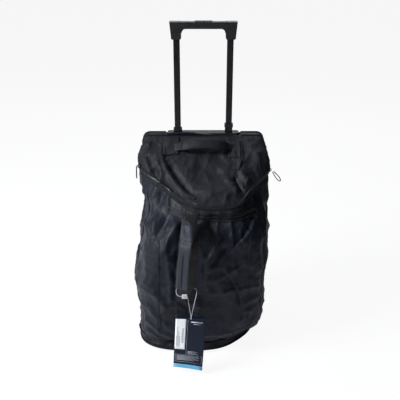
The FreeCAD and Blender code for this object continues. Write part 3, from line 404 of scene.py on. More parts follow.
def spline(points, count):
    """A smooth curve through points, as count evenly spaced ones."""
    p = np.array([tuple(q) for q in points], float)
    p = np.vstack([2 * p[0] - p[1], p, 2 * p[-1] - p[-2]])
    spans = len(p) - 3
    t = np.linspace(0, spans - 1e-9, max(40, 12 * spans))
    i = t.astype(int)
    s = (t - i)[:, None]
    fine = 0.5 * (2 * p[i + 1] + (p[i + 2] - p[i]) * s
                  + (2 * p[i] - 5 * p[i + 1] + 4 * p[i + 2] - p[i + 3]) * s ** 2
                  + (3 * p[i + 1] - p[i] - 3 * p[i + 2] + p[i + 3]) * s ** 3)
    return resample(fine, count)


def tube_mesh(name, path, radius, material, sides=8, closed=False, squash=1.0):
    """A tube along a path of points."""
    path = np.asarray(path, float)
    tangents = np.gradient(path, axis=0)
    if closed:
        tangents = np.roll(path, -1, axis=0) - np.roll(path, 1, axis=0)
    tangents /= np.linalg.norm(tangents, axis=1)[:, None]
    up = np.array([0.0, 0.0, 1.0]) if abs(tangents[0][2]) < 0.9 else np.array([1.0, 0.0, 0.0])
    angles = np.linspace(0, 2 * math.pi, sides, endpoint=False)
    rings = []
    side = np.cross(tangents[0], up)
    for point, tangent in zip(path, tangents):
        side = side - tangent * side.dot(tangent)
        side /= np.linalg.norm(side)
        other = np.cross(tangent, side)
        ring = np.outer(np.cos(angles), side) + squash * np.outer(np.sin(angles), other)
        rings.append(point + radius * ring)
    if closed:
        return grid(name, rings + rings[:1], material, closed=True)
    return outward_faces(grid(name, rings, material, closed=True), capped=True)


def outward_faces(obj, capped=False):
    """Turns every face outwards; capped closes the open ends first."""
    mesh = bmesh.new()
    mesh.from_mesh(obj.data)
    if capped:
        bmesh.ops.holes_fill(mesh, edges=[e for e in mesh.edges if e.is_boundary], sides=0)
    bmesh.ops.recalc_face_normals(mesh, faces=mesh.faces)
    mesh.to_mesh(obj.data)
    mesh.free()
    return obj


def from_bmesh(name, mesh, material):
    data = bpy.data.meshes.new(name)
    mesh.to_mesh(data)
    mesh.free()
    return link(name, data, material)


def joined(name, objects):
    """One object from several, with their materials."""
    with bpy.context.temp_override(active_object=objects[0], selected_editable_objects=objects,
                                   object=objects[0], selected_objects=objects):
        bpy.ops.object.join()
    objects[0].name = name
    objects[0].data.name = name
    return objects[0]


def unit(v):
    return v / np.maximum(np.linalg.norm(v, axis=-1, keepdims=True), 1e-12)


def ribbon(name, path, across, normal, width, thickness, material, columns=9, edge=0.3):
    """A strap along a path: across and normal give its width and face directions at each point."""
    path, across, normal = (np.asarray(a, float) for a in (path, across, normal))
    across, normal = unit(across), unit(normal)
    half = width / 2
    shape = []
    for k in range(columns):
        w = -half + width * k / (columns - 1)
        crown = thickness * (1 - edge * (abs(w) / half) ** 4)
        shape.append((w, crown))
    shape += [(w, 0.0) for w, _ in reversed(shape)]
    rows = [p + np.array([a * w + n * h for w, h in shape]) for p, a, n in zip(path, across, normal)]
    return outward_faces(grid(name, rows, material, closed=True), capped=True)


# A stitch's height over its surface, by share of its length
STITCH_ARCH = ((0, 0.0002), (0.5, 0.0005), (1, 0.0002))


def stitches(name, path, normal, pitch=0.0042, length=0.0030, radius=0.00035):
    """A row of thread stitches along a path, on a surface with the given normals."""
    path, normal = np.asarray(path, float), unit(np.asarray(normal, float))
    lengths = run_of(path)
    count = int(lengths[-1] / pitch)
    mesh = bmesh.new()
    for k in range(count):
        points = []
        for share, height in STITCH_ARCH:
            place = k * pitch + length * share
            points.append(value_at(place, lengths, path) + value_at(place, lengths, normal) * height)
        add_stitch(mesh, points, normal[min(int(len(path) * k / count), len(path) - 1)], radius)
    row = from_bmesh(name, mesh, THREAD)
    smooth_faces(row.data)
    return row


def add_stitch(mesh, points, normal, radius):
    along = unit(points[-1] - points[0])
    side = np.cross(along, normal)
    rings = []
    for point in points:
        rings.append([mesh.verts.new(point + radius * (math.cos(a) * side + math.sin(a) * normal))
                      for a in (0, math.pi / 2, math.pi, 3 * math.pi / 2)])
    for low, high in zip(rings, rings[1:]):
        for k in range(4):
            mesh.faces.new((low[k], low[(k + 1) % 4], high[(k + 1) % 4], high[k]))
    mesh.faces.new(rings[0][::-1])
    mesh.faces.new(rings[-1])


# ---------------------------------------------------------------- the bag's form

def through(t, knots):
    """A smooth value through (place, value) knots."""
    places = np.array([k[0] for k in knots], float)
    values = np.array([k[1] for k in knots], float)
    slopes = np.gradient(values, places)
    t = np.clip(np.asarray(t, float), places[0], places[-1])
    i = np.clip(np.searchsorted(places, t, side="right") - 1, 0, len(places) - 2)
    width = places[i + 1] - places[i]
    s = (t - places[i]) / width
    return ((2 * s ** 3 - 3 * s ** 2 + 1) * values[i] + (s ** 3 - 2 * s ** 2 + s) * width * slopes[i]
            + (-2 * s ** 3 + 3 * s ** 2) * values[i + 1] + (s ** 3 - s ** 2) * width * slopes[i + 1])


# Half widths and depth of the standing bag by height, in millimetres
LEFT = ((12, 170), (50, 187), (100, 190), (177, 197), (240, 201), (283, 198), (335, 185), (385, 173),
        (434, 163), (482, 167), (528, 185), (574, 190), (612, 180))
RIGHT = ((12, 166), (50, 175), (100, 183), (177, 185), (240, 183), (283, 184), (335, 187), (385, 188),
         (434, 190), (482, 191), (528, 197), (574, 190), (612, 180))
FRONT = ((12, 248), (30, 254), (80, 263), (160, 273), (240, 281), (300, 283), (360, 278), (420, 264),
         (460, 251), (490, 238), (530, 215), (612, 190))
# Plan of the zip line from the back left corner round the front to the back right corner
RIM = ((-178, -18), (-188, -60), (-170, -101), (-110, -153), (-50, -212), (-12, -230), (60, -231),
       (100, -214), (130, -167), (184, -110), (189, -62), (178, -18))
# The zip line lies on a slope through this depth and height
MOUTH_Y, MOUTH_Z = -236, 474
MOUTH_FALL, CROWN_FALL = math.tan(math.radians(23.3)), math.tan(math.radians(31.5))
# Plan of the lowest edge: the right front corner is well cut off
FOOT = ((-178, -18), (-178, -18), (-186, -50), (-193, -95), (-196, -140), (-193, -182), (-176, -216),
        (-137, -240), (-84, -250), (-22, -252), (34, -246), (72, -230), (103, -203), (137, -168), (155, -128),
        (170, -90), (177, -52), (178, -18), (178, -18))
# Depth and height of the lid's hinge, the lowest edge, and the half width and corner radius of the back box
HINGE = (-18.0, 612.0)
BOTTOM = 13.0
BACK_HALF, CORNER = 178.0, 20.0
# Points of the shells' grids
ACROSS, UPWARDS, LID_UPWARDS = 231, 121, 61


def ease(t):
    t = np.clip(t, 0, 1)
    return t * t * (3 - 2 * t)


def b_spline(points, count):
    p = np.array(points, float)
    p = np.vstack([2 * p[0] - p[1], p, 2 * p[-1] - p[-2]])
    spans = len(p) - 3
    t = np.linspace(0, spans - 1e-9, 600)
    i = t.astype(int)
    s = (t - i)[:, None]
    fine = ((1 - s) ** 3 * p[i] + (3 * s ** 3 - 6 * s ** 2 + 4) * p[i + 1]
            + (-3 * s ** 3 + 3 * s ** 2 + 3 * s + 1) * p[i + 2] + s ** 3 * p[i + 3]) / 6
    return resample(fine, count)


def outline(z):
    """Plan of the bag at a height, from the back left corner round the front to the back right one."""
    left, right, front = (float(through(z, knots)) for knots in (LEFT, RIGHT, FRONT))
    y = -front
    points = [(-178, -18), (-178, -18), (-(178 + left) / 2 - 2, -45), (-left, -95), (-left, -150),
              (-left + 6, y + 62), (-left + 28, y + 20), (-left + 72, y + 4), (-60, y - 1), (0, y - 1),
              (60, y - 1), (right - 72, y + 4), (right - 28, y + 20), (right - 6, y + 62), (right, -150),
              (right, -95), ((178 + right) / 2 + 2, -45), (178, -18), (178, -18)]
    low = float(1 - ease((z - BOTTOM) / 105))
    points = np.array(points) * (1 - low) + np.array(FOOT) * low
    return b_spline(points, ACROSS)


def rim_line():
    plan = spline(RIM, ACROSS)
    z = MOUTH_Z + (plan[:, 1] - MOUTH_Y) * MOUTH_FALL
    return np.column_stack([plan, z])


def body_grid():
    """Rows of points from the base up to the zip line."""
    rim = rim_line()
    heights = np.linspace(BOTTOM, 560, 60)
    table = np.array([outline(z) for z in heights])
    columns = np.arange(ACROSS)
    rows = []
    for share in np.linspace(0, 1, UPWARDS):
        z = BOTTOM + (rim[:, 2] - BOTTOM) * share
        place = np.clip((z - heights[0]) / (heights[1] - heights[0]), 0, len(heights) - 1.001)
        low = place.astype(int)
        part = (place - low)[:, None]
        plan = table[low, columns] * (1 - part) + table[low + 1, columns] * part
        near = ease((share - 0.80) / 0.20)
        plan = plan * (1 - near) + rim[:, :2] * near
        rows.append(np.column_stack([plan, z]))
    return np.array(rows)


def to_frame(points):
    """Millimetres from the tubes' plane to metres in the frame."""
    points = np.asarray(points, float) / 1000
    points[..., 1] += TUBE_Y
    return points


def grid_normals(points):
    return unit(np.cross(np.gradient(points, axis=1), np.gradient(points, axis=0)))


# What the ridges come to on average
CREASE_MEAN = 0.45


def soft_noise(points, scale, seed, stretch=(1, 1, 1)):
    """Smooth swells about zero."""
    flat = (points * np.array(stretch)).reshape(-1, 3)
    shift = Vector((seed, seed * 0.7, seed * 1.3))
    return np.array([noise.noise(Vector(p) / scale + shift) for p in flat]).reshape(points.shape[:-1])


def crease_noise(points, scale, seed, stretch=(1, 1, 1)):
    """Sharp ridges between smooth fields, as creased cloth has, measured from their mean."""
    return (1 - np.abs(soft_noise(points, scale, seed, stretch))) ** 3 - CREASE_MEAN


def held(points, low, high, sides=0.03):
    """0 on a sheet's edges and 1 inside, reached over these shares of its rows and columns."""
    share = np.linspace(0, 1, points.shape[0])[:, None]
    edge = np.linspace(0, 1, points.shape[1])[None, :]
    return ease(share / low) * ease((1 - share) / high) * ease(edge / sides) * ease((1 - edge) / sides)


def stroke(plane, line, height, width, kind, taper=0.25):
    """A fold along a line drawn on a plane of the bag: plane holds two coordinates per point."""
    line = spline([(*p, 0) for p in line], 60)[:, :2]
    shape = plane.shape[:-1]
    flat = plane.reshape(-1, 2)
    gaps = flat[:, None, :] - line[None, :, :]
    distance = np.linalg.norm(gaps, axis=2)
    nearest = distance.argmin(axis=1)
    d = distance[np.arange(len(flat)), nearest]
    along = nearest / (len(line) - 1)
    fade = ease(np.minimum(along, 1 - along) / taper + 0.05)
    if kind == "ridge":
        profile = np.exp(-(d / width) ** 2)
    elif kind == "crease":
        profile = np.exp(-d / width)
    else:
        tangent = np.gradient(line, axis=0)[nearest]
        gap = gaps[np.arange(len(flat)), nearest]
        side = np.sign(tangent[:, 0] * gap[:, 1] - tangent[:, 1] * gap[:, 0])
        profile = np.exp(-d / width) * side
    return (height * profile * fade).reshape(shape)


# Folds of the front, drawn as x and height: line, height of the fold, width, kind
FRONT_FOLDS = (
    (((-118, 474), (-63, 464), (4, 462), (85, 461), (150, 463)), 5.0, 8, "ridge"),
    (((-110, 452), (-63, 446), (4, 444), (85, 444), (146, 446)), -4.5, 9, "ridge"),
    (((-91, 468), (-118, 425), (-142, 388)), -7.0, 13, "ridge"),
    (((-60, 455), (-96, 405), (-118, 350)), 4.5, 11, "ridge"),
    (((-54, 460), (-66, 406), (-76, 324), (-82, 208)), -6.5, 7, "crease"),
    (((-103, 403), (-97, 334), (-91, 259), (-96, 190)), 3.5, 8, "ridge"),
    (((149, 457), (127, 424), (88, 389), (70, 372)), 6.5, 8, "lap"),
    (((53, 411), (29, 373), (4, 335)), 5.0, 7, "ridge"),
    (((62, 398), (40, 362), (14, 322)), -4.5, 8, "ridge"),
    (((2, 340), (2, 290)), -3.5, 5, "crease"),
    (((54, 331), (76, 289), (100, 242), (110, 190)), 5.0, 9, "lap"),
    (((20, 300), (52, 262), (78, 205)), 3.5, 12, "ridge"),
    (((112, 350), (96, 300), (84, 262)), -4.0, 10, "ridge"),
    (((-168, 97), (-137, 78), (-105, 41)), 5.0, 8, "lap"),
    (((-176, 130), (-140, 104), (-92, 72), (-60, 38)), 4.0, 9, "ridge"),
    (((-40, 60), (10, 88), (70, 96), (130, 88)), 3.5, 12, "ridge"),
    (((20, 46), (70, 60), (120, 58), (160, 74)), -3.5, 9, "ridge"),
    (((-150, 250), (-120, 215), (-104, 168)), 4.5, 12, "ridge"),
    (((-165, 205), (-138, 180), (-110, 120)), -4.0, 11, "ridge"),
    (((130, 300), (150, 250), (160, 190)), 4.0, 11, "ridge"),
    (((10, 230), (40, 190), (60, 140)), -3.5, 12, "ridge"),
    (((120, 160), (90, 130), (60, 118)), 3.5, 10, "ridge"),
    (((-20, 240), (-10, 180), (-22, 120)), 3.0, 12, "ridge"),
    (((-132, 510), (-116, 500), (-98, 488)), -6.0, 5, "crease"),
    (((-121, 502), (-140, 480), (-164, 452)), 4.5, 8, "ridge"),
    (((-118, 498), (-122, 470), (-134, 436)), -4.5, 7, "ridge"),
    (((-104, 490), (-100, 470), (-106, 446)), 4.0, 6, "ridge"),
    (((118, 492), (128, 470), (132, 440)), 4.5, 8, "ridge"),
    (((140, 500), (154, 474), (158, 440)), -4.5, 8, "ridge"),
)
FRONT_FOLD_GAIN, LID_FOLD_GAIN = 1.3, 1.25
# Folds of the sides, drawn as depth and height
SIDE_FOLDS = (
    (((-40, 430), (-110, 450), (-190, 436)), -6.0, 16, "ridge"),
    (((-30, 330), (-90, 360), (-170, 400)), 6.0, 17, "ridge"),
    (((-30, 300), (-110, 318), (-200, 300)), -5.5, 15, "ridge"),
    (((-30, 190), (-100, 230), (-190, 240)), 5.5, 18, "ridge"),
    (((-40, 130), (-120, 150), (-210, 130)), -5.0, 13, "ridge"),
    (((-60, 60), (-140, 80), (-220, 66)), 5.0, 12, "ridge"),
    (((-60, 500), (-100, 470), (-150, 452)), 4.0, 10, "ridge"),
)


def fold_body(points):
    """Adds the folds and the creases to the smooth form."""
    normals = grid_normals(points)
    facing = ease((-normals[..., 1] - 0.25) / 0.5)
    sideways = ease((np.abs(normals[..., 0]) - 0.45) / 0.4)
    front = points[..., [0, 2]]
    side = points[..., [1, 2]]
    lift = np.zeros(points.shape[:2])
    for line, height, width, kind in FRONT_FOLDS:
        lift += FRONT_FOLD_GAIN * stroke(front, line, height, width, kind) * facing
    for line, height, width, kind in SIDE_FOLDS:
        lift += stroke(side, line, height, width, kind) * sideways
    low = crease_noise(points, 95, 3.1, (1, 1, 1.5))
    tall = crease_noise(points, 62, 14.3, (1.5, 1.5, 0.6))
    fine = crease_noise(points, 36, 11.7, (1, 1, 1.15))
    small = crease_noise(points, 19, 21.3, (1.2, 1.2, 0.9))
    swell = soft_noise(points, 110, 7.9)
    for height, creases in ((5.5, low), (4.0, tall), (2.0, fine), (0.7, small)):
        lift += height * creases
    lift += 4.5 * swell
    return points + normals * (lift * held(points, 0.05, 0.025))[..., None]


def softened(shift, rounds):
    """A movement over the grid with its finest buckles evened out; its edges stay as they are."""
    for _ in range(rounds):
        inner = shift[1:-1, 1:-1]
        near = (shift[:-2, 1:-1] + shift[2:, 1:-1] + shift[1:-1, :-2] + shift[1:-1, 2:]) / 4
        shift = shift.copy()
        shift[1:-1, 1:-1] = 0.5 * inner + 0.5 * near
    return shift


# The fabric for the cloth solver, cut 5% too large; how firmly its inside is held, the rows and columns
# held in full along its edges, and the rounds that even it out afterwards
CLOTH = {"quality": 5, "mass": 0.12, "air_damping": 2.0, "tension_stiffness": 18, "compression_stiffness": 18,
         "shear_stiffness": 6, "bending_stiffness": 0.04, "pin_stiffness": 1.0, "shrink_min": -0.05}
CLOTH_GRAVITY, HELD_INSIDE, HELD_EDGE = 0.35, 0.12, 3
SOFTENING = 6


def hold_edges(sheet, rows, columns):
    """Pins the edges of a sheet in full and its inside a little."""
    row, column = np.arange(rows)[:, None], np.arange(columns)[None, :]
    gaps = np.minimum(np.minimum(row, rows - 1 - row), np.minimum(column, columns - 1 - column)).reshape(-1)
    group = sheet.vertex_groups.new(name="held")
    for gap in range(int(gaps.max()) + 1):
        share = 1.0 if gap < HELD_EDGE else HELD_INSIDE
        group.add([int(i) for i in np.flatnonzero(gaps == gap)], share, "REPLACE")
    return group.name


def rumple(points, frames, cap):
    """Cloth cut too large for its form buckles and sags between its seams, and strays by cap at most."""
    sheet = grid("rumple", to_frame(points), BODY_NYLON)
    cloth = sheet.modifiers.new("cloth", "CLOTH")
    for setting, value in CLOTH.items():
        setattr(cloth.settings, setting, value)
    cloth.settings.vertex_group_mass = hold_edges(sheet, *points.shape[:2])
    cloth.settings.effector_weights.gravity = CLOTH_GRAVITY
    cloth.collision_settings.use_collision = False
    cloth.collision_settings.use_self_collision = False
    scene = bpy.context.scene
    for step in range(1, frames + 1):
        scene.frame_set(step)
    settled = sheet.evaluated_get(bpy.context.evaluated_depsgraph_get()).data.vertices
    moved = np.array([tuple(v.co) for v in settled]).reshape(points.shape) * 1000
    moved[..., 1] -= TUBE_Y * 1000
    bpy.data.objects.remove(sheet, do_unlink=True)
    scene.frame_set(1)
    shift = softened(moved - points, SOFTENING)
    size = np.linalg.norm(shift, axis=-1, keepdims=True)
    return points + shift * np.minimum(1, cap / np.maximum(size, 1e-9))


def tucked(points, rows=4, reach=14.0):
    """Rows under the lowest edge, turned in to the base tray."""
    centre = np.array([0.0, -100.0])
    under = []
    for k in range(rows, 0, -1):
        row = points[0].copy()
        out = unit(row[:, :2] - centre)
        row[:, :2] -= out * reach * k / rows
        row[:, 2] += 1.5 * (k / rows - math.sin(math.pi * k / rows))
        under.append(row)
    return np.concatenate([np.array(under), points])


BODY_POINTS = rumple(fold_body(body_grid()), frames=22, cap=9.0)
body_shell = grid("body_shell", to_frame(tucked(BODY_POINTS)), BODY_NYLON, LINING)


# ---------------------------------------------------------------- the lid's form

def rounded_top(corner_points):
    """Half of the back box's edge round its upper left corner, as x and height."""
    turns = np.linspace(0, math.pi / 2, corner_points)[1:]
    below = HINGE[1] - CORNER
    return [(-BACK_HALF + CORNER * (1 - math.cos(a)), below + CORNER * math.sin(a)) for a in turns]


def lid_grid():
    """From the zip line up over the crown to the rear seam."""
    rim = rim_line()
    lengths = run_of(rim)
    lengths /= lengths[-1]
    # the rear seam runs round the two upper back corners
    low, high = MOUTH_Z + (HINGE[0] - MOUTH_Y) * MOUTH_FALL, HINGE[1] - CORNER
    seam = [(-BACK_HALF, low), (-BACK_HALF, (low + high) / 2), (-BACK_HALF, high)] + rounded_top(7)
    seam += [(x, HINGE[1]) for x in (-90, -45, 0)]
    seam += [(-x, z) for x, z in reversed(seam[:-1])]
    seam = resample(np.array(seam, float), 400)
    place = np.interp(lengths, [0, 0.10, 0.26, 0.74, 0.90, 1.0], [0, 0.05, 0.20, 0.80, 0.95, 1.0])
    picked = np.array([seam[int(round(p * (len(seam) - 1)))] for p in place])
    rear = np.column_stack([picked[:, 0], np.full(ACROSS, HINGE[0]), picked[:, 1]])
    crown = rim * 0.80 + rear * 0.20
    crown_z = HINGE[1] + (crown[:, 1] - HINGE[0]) * CROWN_FALL
    lifted = np.column_stack([rim[:, 0] * 0.97, crown[:, 1], np.maximum(crown_z, rim[:, 2] + 10)])
    return np.array([(1 - t) ** 2 * rim + 2 * t * (1 - t) * lifted + t * t * rear
                     for t in np.linspace(0, 1, LID_UPWARDS)])


# Folds of the lid, drawn as x and depth
LID_FOLDS = (
    (((-121, -20), (-121, -80), (-103, -120), (-65, -173), (-16, -212)), 4.0, 6, "ridge"),
    (((-104, -90), (-84, -125), (-48, -172), (-8, -206)), -7.0, 11, "ridge"),
    (((109, -33), (108, -98), (94, -122)), 3.5, 6, "ridge"),
    (((86, -138), (100, -165), (114, -186)), -8.5, 6, "crease"),
    (((102, -118), (116, -146), (134, -152)), 5.5, 8, "ridge"),
    (((56, -128), (80, -168), (100, -202)), 5.0, 10, "ridge"),
    (((-164, -66), (-146, -104), (-124, -136)), -5.0, 7, "ridge"),
    (((-140, -58), (-128, -100), (-110, -146)), 4.5, 8, "ridge"),
    (((-30, -110), (10, -128), (60, -124)), -5.0, 18, "ridge"),
    (((-20, -175), (30, -190), (80, -180)), 5.0, 14, "ridge"),
    (((-150, -60), (-158, -90), (-140, -118)), 5.0, 12, "ridge"),
    (((150, -60), (156, -96), (140, -122)), 5.0, 12, "ridge"),
    (((-120, -130), (-104, -160), (-80, -186)), -5.0, 8, "ridge"),
)


def fold_lid(points):
    """Adds the lid's folds and creases to its smooth form."""
    normals = grid_normals(points)
    plan = points[..., [0, 1]]
    lift = np.zeros(points.shape[:2])
    for line, height, width, kind in LID_FOLDS:
        lift += LID_FOLD_GAIN * stroke(plan, line, height, width, kind)
    lift += 5.0 * crease_noise(points, 80, 5.3) + 2.4 * crease_noise(points, 34, 2.9)
    lift += 1.0 * crease_noise(points, 18, 12.9) + 4.0 * soft_noise(points, 90, 1.7)
    # the end panel hangs in the middle
    lift -= 9.0 * np.exp(-((points[..., 0] + 5) / 85) ** 2 - ((points[..., 1] + 125) / 62) ** 2)
    return points + normals * (lift * held(points, 0.07, 0.05))[..., None]


LID_POINTS = rumple(fold_lid(lid_grid()), frames=18, cap=7.0)
lid_shell = grid("lid_shell", to_frame(LID_POINTS), LID_NYLON, LINING)


# ---------------------------------------------------------------- work on the folded surfaces

def tree_of(obj):
    return BVHTree.FromPolygons([v.co for v in obj.data.vertices], [p.vertices for p in obj.data.polygons])


BODY_TREE, LID_TREE = tree_of(body_shell), tree_of(lid_shell)
LOOK = {"front": Vector((0, 1, 0)), "lid": Vector((0, 0, -1))}


def lay(tree, flat, plane, lift=0.0):
    """Puts flat places on a surface: x and height seen from the front, or x and depth seen from above."""
    flat = np.asarray(flat, float)
    places = np.empty(flat.shape[:-1] + (3,))
    for index in np.ndindex(flat.shape[:-1]):
        u, v = flat[index]
        start = at(u, -600, v) if plane == "front" else at(u, v, 900)
        hit, normal, _, _ = tree.ray_cast(start, LOOK[plane])
        if hit is None:
            hit, normal, _, _ = tree.find_nearest(at(u, -280, v) if plane == "front" else at(u, v, 580))
        if normal.dot(LOOK[plane]) > 0:
            normal = -normal
        places[index] = hit + normal * lift / 1000
    return places


def eased(places, turns=2):
    """Takes the jitter out of places laid on a creased surface."""
    for _ in range(turns):
        inner = (places[:-2] + 2 * places[1:-1] + places[2:]) / 4
        places = np.concatenate([places[:1], inner, places[-1:]])
    return places


def thick_grid(name, places, thickness, *materials, offset=1.0):
    """A sheet in metres with its thickness on the side of its normals."""
    sheet = thicken(grid(name, places, *materials), thickness, offset)
    return outward_faces(sheet)


def laid_strip(name, tree, line, plane, width, thickness, material, columns=7, count=60, lift=0.2):
    flat = spline([(*p, 0) for p in line], count)[:, :2]
    along = unit(np.gradient(flat, axis=0))
    side = np.column_stack([-along[:, 1], along[:, 0]])
    shares = np.linspace(0.5, -0.5, columns)
    rows = flat[:, None, :] + side[:, None, :] * (shares * width)[None, :, None]
    return thick_grid(name, eased(lay(tree, rows, plane, lift)), thickness, material)


def laid_patch(name, tree, corners, plane, thickness, material, count=15, lift=0.2, puff=0.0):
    """A sewn patch between four corners, given left bottom, right bottom, right top, left top."""
    a, b, c, d = (np.array(p, float) for p in corners)
    u, v = np.linspace(0, 1, count)[None, :, None], np.linspace(0, 1, count)[:, None, None]
    flat = (a * (1 - u) + b * u) * (1 - v) + (d * (1 - u) + c * u) * v
    places = eased(lay(tree, flat, plane, lift))
    if puff:
        rise = (np.sin(math.pi * u) * np.sin(math.pi * v))[..., 0] ** 0.5
        places = places + grid_normals(places) * (rise * puff / 1000)[..., None]
    return thick_grid(name, places, thickness, material)


def laid_cord(name, tree, line, plane, radius, material, count=90, lift=0.4):
    flat = spline([(*p, 0) for p in line], count)[:, :2]
    return tube_mesh(name, eased(lay(tree, flat, plane, lift), 3), radius / 1000, material)


def laid_stitches(name, tree, line, plane, count=120, lift=0.35, **how):
    flat = spline([(*p, 0) for p in line], count)[:, :2]
    low, high = lay(tree, flat, plane, lift), lay(tree, flat, plane, lift + 1)
    return stitches(name, eased(low), high - low, **how)


BODY_NORMALS, LID_NORMALS = grid_normals(BODY_POINTS), grid_normals(LID_POINTS)


def row_path(points, normals, row, lift):
    return to_frame(points[row] + normals[row] * lift)


# ---------------------------------------------------------------- gusset, back and pipings

BACK_TOP, BACK_LOW, BACK_Y = HINGE[1], 76.0, 14.0
# Half width of the gap for the trolley's collar plate
NOTCH = 107.5
# How far the gathered fabric stands over the hinge line, by x
GATHER = ((-178, 0), (-150, 3), (-110, 8), (-75, 12), (-45, 12), (-10, 8), (30, 4), (75, 0), (107, -3),
          (150, -3), (178, -3))


def back_edge(count):
    """Up the left side, over the top and down the right side, as x and height."""
    left = [(-BACK_HALF, BACK_LOW), (-BACK_HALF, BACK_TOP - CORNER)] + rounded_top(9)
    return resample(np.array(left + [(-x, z) for x, z in reversed(left)], float), count)


def edge_outwards(edge):
    return unit(np.column_stack([-np.gradient(edge[:, 1]), np.gradient(edge[:, 0])]))


def gusset_points(count=361, rows=10):
    edge = back_edge(count)
    on_top = ease((edge[:, 1] - (BACK_TOP - CORNER)) / CORNER)
    out = edge_outwards(edge)
    back = np.where((np.abs(edge[:, 0]) < NOTCH) & (on_top > 0.9), -15.4, BACK_Y)
    rise = through(edge[:, 0], GATHER) * on_top
    points = []
    for t in np.linspace(0, 1, rows):
        y = HINGE[0] + (back - HINGE[0]) * t
        ridge = np.exp(-((y + 14.5) / 6.5) ** 2) * ease(t / 0.16 + 0.02)
        fall = np.where(back < 0, -7.0 * t ** 3, 0)
        bulge = 3.2 * math.sin(math.pi * t) * (1 - on_top)
        grow = rise * ridge + bulge + fall
        points.append(np.column_stack([edge[:, 0] + out[:, 0] * grow, y, edge[:, 1] + out[:, 1] * grow]))
    points = np.array(points)
    normals = grid_normals(points)
    crumple = 1.3 * soft_noise(points, 26, 4.4) + 1.6 * crease_noise(points, 40, 9.1)
    hold = np.sin(np.linspace(0, math.pi, rows))[:, None]
    return points + normals * (crumple * hold)[..., None]


GUSSET_POINTS = gusset_points()
gusset_strip = grid("gusset_strip", to_frame(GUSSET_POINTS), BODY_NYLON, LINING)
thicken(gusset_strip, 0.0012, rim=1)
finish_piece(gusset_strip, "root", "nylon_body")


def back_points(rows=110):
    xs = np.concatenate([np.linspace(-BACK_HALF, BACK_HALF, 120),
                         [-NOTCH - 0.6, -NOTCH, NOTCH, NOTCH + 0.6, -121.6, -121, 121, 121.6]])
    xs = np.sort(xs)[::-1]
    size = np.abs(xs)
    inside = BACK_HALF - CORNER
    top = np.where(size > inside, BACK_TOP - CORNER
                   + np.sqrt(np.maximum(CORNER ** 2 - np.maximum(size - inside, 0) ** 2, 0)), BACK_TOP)
    top = np.where(size <= NOTCH, 599.0, top)
    low = np.where(size > 121.3, BACK_LOW, 23.0)
    points = np.array([np.column_stack([xs, np.full(len(xs), BACK_Y + 0.8), low + (top - low) * t])
                       for t in np.linspace(0, 1, rows)])
    gap = np.minimum.reduce([BACK_HALF - np.abs(points[..., 0]), points[..., 2] - low, top - points[..., 2]])
    puff = 3.0 * ease(gap / 26)
    puff += (1.5 * soft_noise(points, 70, 6.2) + 2.0 * crease_noise(points, 60, 8.8)) * ease(gap / 20)
    seam = np.exp(-np.abs(points[..., 2] - 470) / 2.2) * -2.0
    points[..., 1] += np.maximum(puff + seam * ease(gap / 8), -0.5)
    return points


BACK_POINTS = back_points()
back_cover = grid("back_cover", to_frame(BACK_POINTS), BODY_NYLON, LINING)
thicken(back_cover, 0.0010, rim=1)
finish_piece(back_cover, "root", "nylon_body", "back_fabric")


def piping_path(y, lift):
    """Round the back box, standing out from its edge by lift."""
    edge = back_edge(400)
    out = edge_outwards(edge)
    moved = edge + out * lift
    return np.column_stack([moved[:, 0], np.full(len(edge), y), moved[:, 1]])


for name, y, lift, radius in (("piping_rear", BACK_Y + 0.6, 0.6, 0.0023),
                              ("piping_fore", HINGE[0] + 1.6, 0.8, 0.0021)):
    path = piping_path(y, lift)
    halves = [path[(np.abs(path[:, 0]) > NOTCH + 2) & (path[:, 0] * sign > 0)] for sign in (-1, 1)]
    piping = joined(name, [tube_mesh("half", to_frame(half), radius, PIPING) for half in halves])
    finish_piece(piping, "root", "piping")
for name, row, lift, radius in (("piping_foot", 6, 1.0, 0.0023), ("hem_foot", 0, 0.6, 0.0026)):
    path = row_path(BODY_POINTS, BODY_NORMALS, row, lift)[3:-3]
    finish_piece(tube_mesh(name, path, radius, PIPING), "root", "piping")


# Seams up the sides: column of the body's grid, first and last row, lift in millimetres and radius
COLUMN_SEAMS = ((170, 10, 112, 0.5, 0.0016), (167, 40, 112, 0.3, 0.0011), (40, 12, 112, 0.5, 0.0016),
                (192, 6, 100, 0.4, 0.0014), (58, 10, 60, 0.4, 0.0014))
seams = []
for column, first, last, lift, radius in COLUMN_SEAMS:
    path = to_frame(BODY_POINTS[first:last, column] + BODY_NORMALS[first:last, column] * lift)
    seams.append(tube_mesh("seam", eased(path, 3), radius, PIPING, squash=0.7))
finish_piece(joined("side_seams", seams), "root", "piping")

# Vertical seams of the front, and the welt across its top, as x and height
FRONT_SEAMS = (((-123, 388), (-125, 300), (-128, 230), (-128, 161), (-124, 100)),
               ((127, 396), (126, 350), (124, 302), (128, 220), (130, 130)))
front_seams = [laid_strip("front_seam", BODY_TREE, line, "front", 5.0, 0.0009, BODY_NYLON, columns=5,
                          count=90) for line in FRONT_SEAMS]
finish_piece(joined("front_seams", front_seams), "root", "nylon_body")
seam_threads = [laid_stitches("thread", BODY_TREE, [(x + gap, z) for x, z in line], "front", lift=1.2)
                for line in FRONT_SEAMS for gap in (-1.6, 1.6)]
finish_piece(joined("seam_threads", seam_threads), "root", "stitching")

WELTS = (((-112, 463), (-60, 456), (4, 453), (85, 453), (140, 456), (152, 446)),
         ((-104, 452), (-60, 445), (4, 442), (85, 442), (140, 443), (150, 434)))
front_welts = [laid_strip("welt", BODY_TREE, line, "front", 7.0, 0.0016, WEBBING, columns=5, count=90)
               for line in WELTS]
finish_piece(joined("front_welts", front_welts), "root", "webbing")


# ---------------------------------------------------------------- zip

